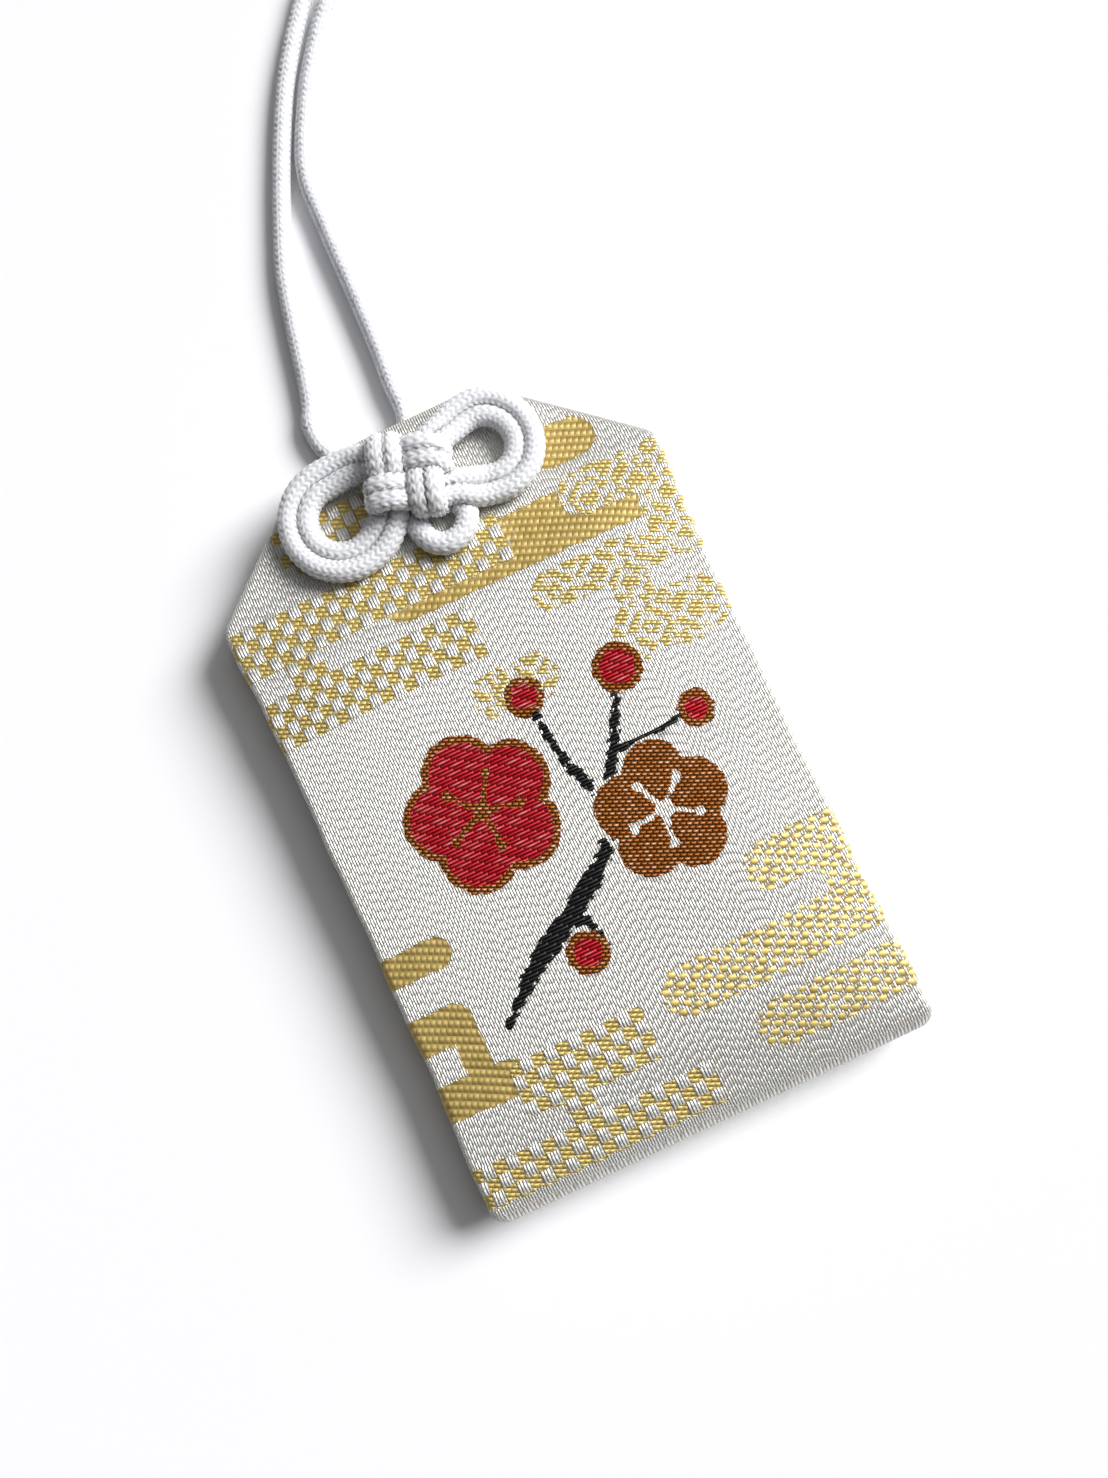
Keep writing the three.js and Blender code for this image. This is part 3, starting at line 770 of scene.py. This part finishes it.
def cloud_fields(u, v):
    """The clouds of the brocade, which run on over the pouch's edges to its back."""
    counts = zip(check_counts(u, v), CHECK_CELL, CHECK_PHASE)
    middles = [(np.floor(count) + 0.5 - phase) * size for count, size, phase in counts]
    check = bars(*middles, CHECK_CLOUDS, 1.2)
    rosette = bars(u, v, ROSETTE_CLOUDS)
    gold = np.maximum(bars(u, v, GOLD_CLOUDS), -np.minimum(check, rosette))
    return {"check": check, "gold": gold, "rosette": rosette, "dotted": bars(u, v, DOTTED_CLOUDS)}


# The branch: middle, radius and turn of its blossoms, middle and radius of its buds, and its strokes
RED_BLOOM = (-7.5, -1.5, 7.4, 96)
GOLD_BLOOM = (8, -8.5, 6.6, 80)
BUDS = [(9.8, 5.4, 2.1), (0.6, 6.6, 1.6), (15, -1.2, 1.5), (-4, -17.4, 1.7)]
BRANCHES = [
    [(-13.5, -20.5, 0.25), (-9, -16.6, 0.8), (-4, -13.6, 0.95), (1, -10, 0.7), (3.4, -5.6, 0.6),
     (6, -1.5, 0.5), (8.6, 3.2, 0.35)],
    [(-4, -13.6, 0.6), (-2.4, -16, 0.45), (-3.6, -18, 0.35)],
    [(3.4, -5.6, 0.55), (1.4, 0, 0.45), (0.8, 5.4, 0.32)],
    [(6, -1.5, 0.45), (10.5, -1.8, 0.4), (14, -1.2, 0.3)],
]
OUTLINE = 0.36             # half width of the bronze line round the red petals
BRANCH_GAP = 0.3           # between a branch and a blossom


def branch_fields(u, v):
    """A plum branch with blossoms and buds on the front."""
    red_bloom = blossom(u, v, *RED_BLOOM)
    gold_bloom = blossom(u, v, *GOLD_BLOOM)
    buds = np.min([disc(u, v, *bud) for bud in BUDS], axis=0)
    branch = np.min([stroke(u, v, points) for points in BRANCHES], axis=0)
    red = np.minimum(red_bloom, buds)
    bronze_lines = np.minimum(np.abs(red) - OUTLINE, stamens(u, v, *RED_BLOOM))
    bronze_petals = np.maximum(gold_bloom, -stamens(u, v, *GOLD_BLOOM))
    flowers = np.minimum(red, gold_bloom)
    return {
        "red": red,
        "bronze": np.minimum(bronze_lines, bronze_petals),
        "ink": np.maximum(branch, -flowers + BRANCH_GAP),
    }


def check_puff(u, v, check):
    """The plain squares of the check swell up between the gold ones."""
    count = check_counts(u, v)
    plain = np.mod(np.floor(count[0]) + np.floor(count[1]), 2) == 1
    humps = [np.sin(math.pi * np.mod(w, 1)) ** 0.6 for w in count]
    return np.where(plain & (check < 0), humps[0] * humps[1], 0)


def relief(fields, u, v):
    """How far the cloth's pattern stands out of its ground."""
    raised = PUFF_HEIGHT * check_puff(u, v, fields["check"])
    raised -= GOLD_SINK * smoothstep(-fields["gold"], *YARN_EDGE)
    for name, height in YARN_HEIGHTS.items():
        if name in fields:
            raised = mix(raised, height, smoothstep(-fields[name], *YARN_EDGE))
    return raised


# Brocade
# Painted glints: strength and colour of the highlights painted on the tops of the red and bronze floats
PAINTED_GLINTS = {"red": (0.5, (1.0, 0.72, 0.7)), "bronze": (0.8, (1.0, 0.82, 0.62))}
GOLD_SLANT = (0.914, 0.406)                 # cosine and sine of the slant of the gold rows
# Floats of each weave: spacing of the rows, length of a float and shift from row to row
GOLD_BEADS = (0.744, 0.59, 0.67)
SMALL_BEADS = (0.42, 0.6, 0.62)
SATIN_FLOATS = (0.26, 0.95, 0.38)
PUFF_FLOATS = (0.306, 1.3, 0.37)
STITCH_FLOATS = (0.34, 1.7, 0.31)
ROPE_FLOATS = (0.36, 0.62, 0.5)
HEM_RIBS = (0.36, 6, 0.4)


def yarn_floats(tree, along, across, width, length, shift,
                uneven=0.12, waist=0.0, side=0.6, end=0.5, span=(0.0, 1.0)):
    """Rows of yarn floats: the height of each, and a fixed random tone."""
    row = (across / width).floor()
    run = along / length + row * shift + chance(tree, row, row) * uneven
    height = (across / width).fract().hump(side) * number_mix(run.fract().hump(end), waist, 1.0)
    return number_mix(height, *span), chance(tree, row, run.floor())


def gold_axes(u, v):
    """A place measured along and across the gold rows."""
    cosine, sine = GOLD_SLANT
    return u * cosine - v * sine, u * sine + v * cosine


def bead_middle(u, v, beads):
    """The middle of the bead that a place lies on."""
    cosine, sine = GOLD_SLANT
    width, length, shift = beads
    along, across = gold_axes(u, v)
    row = (across / width).floor()
    middle_along = ((along / length + row * shift).floor() + 0.5 - row * shift) * length
    middle_across = (row + 0.5) * width
    return middle_along * cosine + middle_across * sine, middle_across * cosine - middle_along * sine


def yarn_colour(tree, floats, yarn, settings):
    height, tone = floats
    shade, light = tuple(getattr(settings, yarn + "_shade")), tuple(getattr(settings, yarn))
    # Painted shade and highlight: each float's colour runs from the shade colour in its gaps to the yarn's
    # colour on its top as its height rises, with some random tone.
    colour = colour_mix(tree, height * 0.8 + tone * 0.2, shade, light)
    if yarn not in PAINTED_GLINTS:
        return colour
    # Painted glints: the tops of random floats are lightened towards a glint colour.
    strength, glint = PAINTED_GLINTS[yarn]
    return colour_mix(tree, height.math("POWER", 5) * tone.math("POWER", 3) * strength, colour, glint)


def lattice(u, v, steps):
    """Where a place lies from the middle of its pattern cell: two numbers from -0.5 to 0.5."""
    return tuple((u * across + v * along + start).fract() - 0.5 for across, along, start in steps)


def lattice_step(steps):
    """The two steps from a cell of a lattice to its neighbours, in millimetres."""
    return np.linalg.inv(np.array(steps)[:, :2])


def chained_dots(u, v, ragged):
    """Dots that join into slanted chains: 1 on a dot, and its height."""
    cell = lattice(u, v, DOT_LATTICE)
    from_middle = (cell[0] * float(x) + cell[1] * float(y) for x, y in lattice_step(DOT_LATTICE))
    along, across = (w / size for w, size in zip(gold_axes(*from_middle), DOT_SIZE))
    reach = along * along + across * across
    outside = reach.math("SQRT") - 1
    return (outside * DOT_SIZE[1] + ragged).within(0.1), (1 - reach).math("MAXIMUM", 0).math("POWER", 0.6)


def rosettes(u, v):
    """1 on small blossoms, each in a diamond of four dashes."""
    x, y = lattice(u, v, ROSETTE_LATTICE)
    far_x, far_y = x.math("ABSOLUTE"), y.math("ABSOLUTE")
    blossom_edge = (x * x + y * y).math("SQRT") - 0.27
    dashes = [(0.37 - a).math("MAXIMUM", b - 0.36) for a, b in ((far_x, far_y), (far_y, far_x))]
    edge = blossom_edge.math("MINIMUM", dashes[0].math("MINIMUM", dashes[1]))
    return (edge * ROSETTE_CELL).within(0.1)


def brocade_material(settings):
    """Satin ground with gold clouds, checks, dots and rosettes, and the branch in red, bronze and black."""
    material, tree, shader = new_material("brocade_cloth", 0.52)
    place = tree.nodes.new("ShaderNodeUVMap")
    place.uv_map = "cloth"
    split = tree.nodes.new("ShaderNodeSeparateXYZ")
    tree.links.new(place.outputs["UV"], split.inputs[0])
    u, v = (Field(tree, socket) for socket in split.outputs[:2])
    slanted = gold_axes(u, v)
    satin = yarn_floats(tree, v, u, *SATIN_FLOATS, uneven=0.9, waist=0.45)
    twill = yarn_floats(
        tree, *slanted, *GOLD_BEADS, uneven=0, waist=0.25, side=1.4, end=0.9, span=(0.26, 0.66))
    beads = yarn_floats(
        tree, *slanted, *SMALL_BEADS, uneven=0, waist=0.3, side=0.8, end=0.8, span=(0.45, 1.0))
    stitches = yarn_floats(tree, u, v, *STITCH_FLOATS)
    rope = yarn_floats(tree, *slanted, *ROPE_FLOATS)
    puffs = yarn_floats(tree, v, u, *PUFF_FLOATS, uneven=0.5, waist=0.5)
    ribs = yarn_floats(tree, v, u, *HEM_RIBS)
    counts = check_counts(u, v)
    chequer = (counts[0] * math.pi).math("SINE") * (counts[1] * math.pi).math("SINE")
    odd = (chequer + 0.03 - (satin[1] - 0.5) * 0.12).within()
    # Painted shade: dark lines in the ink yarn's colour down the slits between the check's columns, where
    # shade falls between the puffs.
    between = ((0.24 - counts[0].fract().hump(1)) * 6).math("MAXIMUM", 0).math("MINIMUM", 0.45)
    on_dot, dot_height = chained_dots(u, v, (satin[1] - 0.5) * 0.3)
    on_rosette = rosettes(*bead_middle(u, v, SMALL_BEADS)) * (0.14 - beads[1]).within()

    def region(name, spread=0.0, floats=satin):
        return (attribute(tree, name) + (floats[1] - 0.5) * spread).within()

    # Each layer's float heights raise the bump and also paint the shade and highlight of its yarn, through
    # yarn_colour.
    layers = [
        ((v - HEM_TOP).within(0.2), ribs, "satin"),
        (region("gold", 0.25), twill, "gold"),
        (region("check") * (1 - odd), beads, "gold"),
        (region("check") * odd, puffs, "satin"),
        # painted shade in the slits between the check's columns
        (region("check") * between, satin, "ink"),
        (region("dotted", 0.2) * on_dot, (number_mix(dot_height, 0.4, 1.0), satin[1]), "gold"),
        (region("rosette", 0.5, beads) * on_rosette, beads, "gold"),
        (region("red", 0.7, stitches), stitches, "red"),
        (region("bronze", 0.25, rope), rope, "bronze"),
        (region("ink", 0.5, stitches), stitches, "ink"),
    ]
    colour = yarn_colour(tree, satin, "satin", settings)
    height = satin[0]
    for mask, floats, yarn in layers:
        colour = colour_mix(tree, mask, colour, yarn_colour(tree, floats, yarn, settings))
        height = number_mix(mask, height, floats[0])
    tree.links.new(colour, shader.inputs["Base Color"])
    grain = tree.nodes.new("ShaderNodeTangent")
    grain.direction_type = "UV_MAP"
    grain.uv_map = "cloth"
    tree.links.new(grain.outputs[0], shader.inputs["Tangent"])
    shader.inputs["Metallic"].default_value = 0.42
    shader.inputs["Anisotropic"].default_value = 0.75
    shader.inputs["Specular IOR Level"].default_value = 0.6
    shader.inputs["Subsurface Weight"].default_value = 0.15
    shader.inputs["Subsurface Radius"].default_value = (1, 0.7, 0.5)
    shader.inputs["Subsurface Scale"].default_value = 1.2 * MM
    bump(tree, shader, height, 0.00019)
    return material


def swell(context, spacing):
    """How the filling moves the pouch's front and back, from a simulation on a coarser grid."""
    front, back, cloth = pouch_grids(spacing)
    rows, columns = front.shape[:2]
    rest = pillow_points(front, back) * SIM_SCALE
    trial = mesh_object("pouch_trial", rest, pillow_faces(rows, columns).tolist())
    press = trial.modifiers.new("press", "CLOTH")
    press.settings.quality = 6
    press.settings.mass = 0.3
    press.settings.tension_stiffness = 12
    press.settings.compression_stiffness = 12
    press.settings.bending_stiffness = 0.6
    press.settings.use_pressure = True
    press.settings.uniform_pressure_force = 5
    press.settings.shrink_min = -0.012
    press.settings.effector_weights.gravity = 0
    press.point_cache.frame_start = 1
    press.point_cache.frame_end = SIM_FRAMES
    for step in range(1, SIM_FRAMES + 1):
        context.scene.frame_set(step)
    settled = trial.evaluated_get(context.evaluated_depsgraph_get()).to_mesh()
    after = np.empty(len(rest) * 3, np.float32)
    settled.vertices.foreach_get("co", after)
    context.scene.frame_set(1)
    moved = after.reshape(-1, 3) / MM / SIM_SCALE - rest / SIM_SCALE
    bpy.data.objects.remove(trial)
    far = np.linalg.norm(moved, axis=1, keepdims=True)
    moved *= np.minimum(1, SWELL_CAP / np.maximum(far, 1e-6))
    front_moved = moved[:rows * columns].reshape(rows, columns, 3)
    back_moved = front_moved.copy()
    back_moved[1:-1, 1:-1] = moved[rows * columns:].reshape(rows - 2, columns - 2, 3)
    return front_moved, back_moved, cloth


def resampled(moved, coarse, dense):
    """Movement on the coarse grid, spread smoothly over the dense one."""
    middle_row, middle_column = coarse.shape[0] // 2, coarse.shape[1] // 2
    row_at, column_at = coarse[:, middle_column, 1], coarse[middle_row, :, 0]
    row_to = dense[:, dense.shape[1] // 2, 1]
    column_to = dense[dense.shape[0] // 2, :, 0]
    tall = np.apply_along_axis(lambda run: np.interp(row_to, row_at, run), 0, moved)
    spread = np.apply_along_axis(lambda run: np.interp(column_to, column_at, run), 1, tall)
    for _ in range(SPREAD_PASSES):
        spread[1:-1] = (spread[:-2] + 2 * spread[1:-1] + spread[2:]) / 4
        spread[:, 1:-1] = (spread[:, :-2] + 2 * spread[:, 1:-1] + spread[:, 2:]) / 4
    return spread


def pouch_mesh(context, spacing):
    """The whole pouch with its swelling, its pattern's relief and the attributes that its material reads."""
    front, back, cloth = pouch_grids(spacing)
    back_cloth = np.stack([along_cloth(back, 1, 0), along_cloth(back, 0, 1)], -1)
    u, v = cloth[..., 0], cloth[..., 1]
    back_u, back_v = back_cloth[..., 0], back_cloth[..., 1]
    below_knot = 1 - smoothstep(front[..., 1:2], *(KNOT[1] - below for below in SWELL_BELOW))
    front_moved, back_moved, coarse = swell(context, SIM_SPACING)
    front = front + resampled(front_moved, coarse, cloth) * below_knot
    back = back + resampled(back_moved, coarse, cloth) * below_knot
    clouds = cloud_fields(u, v)
    back_clouds = cloud_fields(back_u, back_v)
    branch = branch_fields(u, v)
    inner = smoothstep(np.minimum(np.abs(u - cloth[:, :1, 0]), np.abs(u - cloth[:, -1:, 0])), 0.3, 1.2)
    front = front + grid_normals(front) * (relief({**clouds, **branch}, u, v) * inner)[..., None]
    back = back - grid_normals(back) * (relief(back_clouds, back_u, back_v) * inner)[..., None]
    back[0], back[-1], back[:, 0], back[:, -1] = front[0], front[-1], front[:, 0], front[:, -1]
    for side in (front, back):
        side[..., 2] = np.maximum(side[..., 2], 0)
    faces = pillow_faces(*u.shape)
    pouch = mesh_object("brocade_pouch", pillow_points(front, back), faces.tolist())
    outside = np.ones_like(u)
    for name in PATTERN:
        on_front = clouds.get(name, branch.get(name))
        on_back = back_clouds.get(name, outside)
        keep_attribute(pouch.data, name, pillow_points(on_front[..., None], on_back[..., None]))
    front_corners = faces[:len(faces) // 2]
    uv = np.vstack([cloth.reshape(-1, 2)[front_corners.ravel()],
                    back_cloth.reshape(-1, 2)[front_corners[:, ::-1].ravel()]])
    pouch.data.uv_layers.new(name="cloth").data.foreach_set("uv", uv.ravel().astype(np.float32))
    return pouch


# Filling: name of the finish, its two colours, grain along each axis, roughness and depth of the grain
WADDING_ROUND = 4.0
WADDING_EDGE = 1.2
WADDING_SPACING = 0.5
FINISHES = {
    "left_corner_fold": ("cloth_back", (206, 200, 184), (250, 247, 236), (2500, 600, 2500), 0.7, 0.00003),
    "right_corner_fold": ("cloth_back", (206, 200, 184), (250, 247, 236), (2500, 600, 2500), 0.7, 0.00003),
    "seam_thread": ("ivory_thread", (214, 206, 186), (246, 240, 224), (3000, 3000, 3000), 0.6, 0.00003),
    "stiffener_card": ("grey_card", (178, 160, 128), (214, 198, 166), (700, 700, 700), 0.9, 0.00002),
    "paper_wrapper": ("white_paper", (232, 226, 212), (247, 243, 234), (400, 900, 400), 0.85, 0.00001),
    "charm_slip": ("planed_wood", (196, 152, 96), (228, 192, 138), (900, 40, 900), 0.6, 0.00002),
    "wadding": ("cotton_wadding", (226, 223, 216), (252, 251, 248), (500, 500, 500), 1.0, 0.0001),
}


def finish_material(name, low, high, grain, roughness, depth):
    """A plain material with grain of its own."""
    found = bpy.data.materials.get(name)
    if found:
        return found
    material, tree, shader = new_material(name, roughness)
    fleck = object_noise(tree, 1, 4.0, grain)
    tree.links.new(colour_mix(tree, fleck, srgb(*low), srgb(*high)), shader.inputs["Base Color"])
    bump(tree, shader, fleck, depth)
    return material


def wadding_mesh(spacing):
    """A loose pad of cotton, rounded at its corners and lumpy all over."""
    low, high = (np.array(corner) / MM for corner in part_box("wadding"))
    middle, half = (low + high) / 2, (high - low) / 2
    share_x, share_y = (np.linspace(-1, 1, int(2 * reach / spacing)) for reach in half[:2])
    y = half[1] * share_y[:, None]
    width = half[0] - rounded_off(half[1] - np.abs(y), WADDING_ROUND)
    x = width * share_x[None, :]
    y = y + 0 * x
    inset = np.minimum(width - np.abs(x), half[1] - np.abs(y))
    over = 1 - np.clip(inset / WADDING_EDGE, 0, 1)
    lumps = np.sin(1.1 * x + 0.7 * y) * np.sin(0.8 * y - 0.5 * x) + np.sin(2.3 * x) * np.sin(1.9 * y)
    thick = half[2] * np.sqrt(1 - over ** 2) * (0.88 + 0.06 * lumps)
    front, back = (np.stack([middle[0] + x, middle[1] + y, middle[2] + side * thick], -1) for side in (1, -1))
    return mesh_object("cotton_pad", pillow_points(front, back), pillow_faces(*x.shape).tolist())


# Operators
class CHARM_OT_place_camera(bpy.types.Operator):
    """Places the camera where the photograph was taken from"""
    bl_idname = "charm.place_camera"
    bl_label = "Place Camera"

    def execute(self, context):
        lean = Matrix.Identity(3)
        for degrees, axis in zip(CAMERA_LEAN, "XYZ"):
            lean = Matrix.Rotation(math.radians(degrees), 3, axis) @ lean
        roll = math.radians(CAMERA_ROLL)
        seen = (
            Vector((math.cos(roll), -math.sin(roll), 0)),
            Vector((math.sin(roll), math.cos(roll), 0)),
            Vector((0, 0, 1)),
        )
        axes = Matrix([lean.transposed() @ direction for direction in seen]).transposed()
        data = bpy.data.cameras.new("photo_camera")
        data.sensor_fit = "HORIZONTAL"
        data.sensor_width = SENSOR_WIDTH
        data.lens = SENSOR_WIDTH * FOCAL_PIXELS / IMAGE_WIDTH
        data.clip_start = 0.005
        camera = bpy.data.objects.new("photo_camera", data)
        camera.matrix_world = Matrix.Translation(Vector(CAMERA_PLACE) * MM) @ axes.to_4x4()
        context.scene.collection.objects.link(camera)
        context.scene.camera = camera
        return {"FINISHED"}


class CHARM_OT_tie_knot(bpy.types.Operator):
    """Ties the ornamental knot of braided cord on the front of the pouch"""
    bl_idname = "charm.tie_knot"
    bl_label = "Tie Knot"

    def execute(self, context):
        cord = context.scene.charm_cord
        path = relaxed(smooth_route(on_pouch(knot_points()), CORD_STEP), KNOT_EASE, CORD_STEP)
        from_middle = np.linalg.norm(path[:, :2] - KNOT, axis=1)
        pressed = 1 - smoothstep(from_middle, *KNOT_MIDDLE)
        radius = cord.diameter / MM / 2 * mix(*KNOT_SWELL, pressed)
        flat = mix(*KNOT_FLAT, pressed)
        depth = STITCH_DEPTH * mix(*KNOT_STITCH, pressed)
        knot = knitted_cord("knot_cord", path, radius, cord.stitch / MM, flat, depth)
        knot.data.materials.append(cord_material(cord))
        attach(knot, "knot")
        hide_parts("knot")
        return {"FINISHED"}


class CHARM_OT_lay_cord(bpy.types.Operator):
    """Lays the free cord: two tails through the hole and the hanging loop"""
    bl_idname = "charm.lay_cord"
    bl_label = "Lay Cord"

    def execute(self, context):
        cord = context.scene.charm_cord
        path = smooth_route(loop_points(), CORD_STEP)
        piece = knitted_cord("loop_cord", path, cord.diameter / MM / 2, cord.stitch / MM)
        piece.data.materials.append(cord_material(cord))
        (SWING_Y - 2) * MM
        (SWING_Y + 4) * MM
        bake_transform(piece)
        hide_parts("left_cord_tail", "right_cord_tail", "hanging_loop")
        return {"FINISHED"}


class CHARM_OT_sew_pouch(bpy.types.Operator):
    """Sews the padded brocade pouch"""
    bl_idname = "charm.sew_pouch"
    bl_label = "Sew Pouch"

    def execute(self, context):
        pouch = pouch_mesh(context, CLOTH_SPACING)
        pouch.data.materials.append(brocade_material(context.scene.charm_pouch))
        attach(pouch, "pouch")
        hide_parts("front_panel", "back_panel")
        return {"FINISHED"}


class CHARM_OT_fill_pouch(bpy.types.Operator):
    """Lays the cotton pad in the pouch and finishes the other pieces that the pouch holds"""
    bl_idname = "charm.fill_pouch"
    bl_label = "Fill Pouch"

    def execute(self, context):
        for node, finish in FINISHES.items():
            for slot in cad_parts[node].material_slots:
                slot.material = finish_material(*finish)
        pad = wadding_mesh(WADDING_SPACING)
        pad.data.materials.append(finish_material(*FINISHES["wadding"]))
        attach(pad, "pouch")
        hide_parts("wadding")
        return {"FINISHED"}


class CHARM_OT_set_stage(bpy.types.Operator):
    """Sets the pale floor and the soft window light"""
    bl_idname = "charm.set_stage"
    bl_label = "Set Stage"

    def execute(self, context):
        stage = context.scene.charm_stage
        bpy.ops.object.select_all(action="DESELECT")
        bpy.ops.mesh.primitive_plane_add(size=FLOOR_SIZE * MM, location=(0, 0, -FLOOR_DROP * MM))
        floor = context.active_object
        floor.name = "floor"
        material, _, shader = new_material("pale_floor", 0.8)
        shader.inputs["Base Color"].default_value = (*stage.floor, 1)
        floor.data.materials.append(material)
        for name, angles in LAMPS.items():
            side, height, spread = (math.radians(angle) for angle in angles)
            lamp = bpy.data.lights.new(name, "SUN")
            lamp.energy = getattr(stage, name)
            lamp.angle = spread
            level = math.cos(height)
            place = Vector((level * math.cos(side), level * math.sin(side), math.sin(height)))
            light = bpy.data.objects.new(name, lamp)
            light.matrix_world = place.to_track_quat("Z", "Y").to_matrix().to_4x4()
            context.scene.collection.objects.link(light)
        world = bpy.data.worlds.new("room")
        world.use_nodes = True
        world.node_tree.nodes["Background"].inputs["Strength"].default_value = stage.fill
        world.node_tree.nodes["Background"].inputs["Color"].default_value = ROOM_COLOUR
        context.scene.world = world
        context.scene.view_settings.view_transform = "Standard"
        return {"FINISHED"}


class CHARM_PT_panel(bpy.types.Panel):
    """Lists the charm's steps and settings"""
    bl_idname = "CHARM_PT_panel"
    bl_label = "Omamori Charm"
    bl_space_type = "VIEW_3D"
    bl_region_type = "UI"
    bl_category = "Charm"

    def draw(self, context):
        for step in STEPS:
            self.layout.operator(step.bl_idname)
        for group in GROUPS:
            settings = getattr(context.scene, group)
            for name in settings.bl_rna.properties.keys():
                if name not in ("rna_type", "name"):
                    self.layout.prop(settings, name)


GROUPS = {"charm_pouch": PouchSettings, "charm_cord": CordSettings, "charm_stage": StageSettings}
STEPS = (
    CHARM_OT_place_camera, CHARM_OT_tie_knot, CHARM_OT_lay_cord, CHARM_OT_sew_pouch, CHARM_OT_fill_pouch,
    CHARM_OT_set_stage,
)


def register():
    for cls in (*GROUPS.values(), *STEPS, CHARM_PT_panel):
        bpy.utils.register_class(cls)
    for name, group in GROUPS.items():
        setattr(bpy.types.Scene, name, PointerProperty(type=group))


def unregister():
    for name in GROUPS:
        delattr(bpy.types.Scene, name)
    for cls in (CHARM_PT_panel, *reversed(STEPS), *GROUPS.values()):
        bpy.utils.unregister_class(cls)


def main():
    register()
    bpy.ops.charm.place_camera()
    bpy.ops.charm.tie_knot()
    bpy.ops.charm.lay_cord()
    bpy.ops.charm.sew_pouch()
    bpy.ops.charm.fill_pouch()
    bpy.ops.charm.set_stage()


if __name__ == "__main__":
    main()
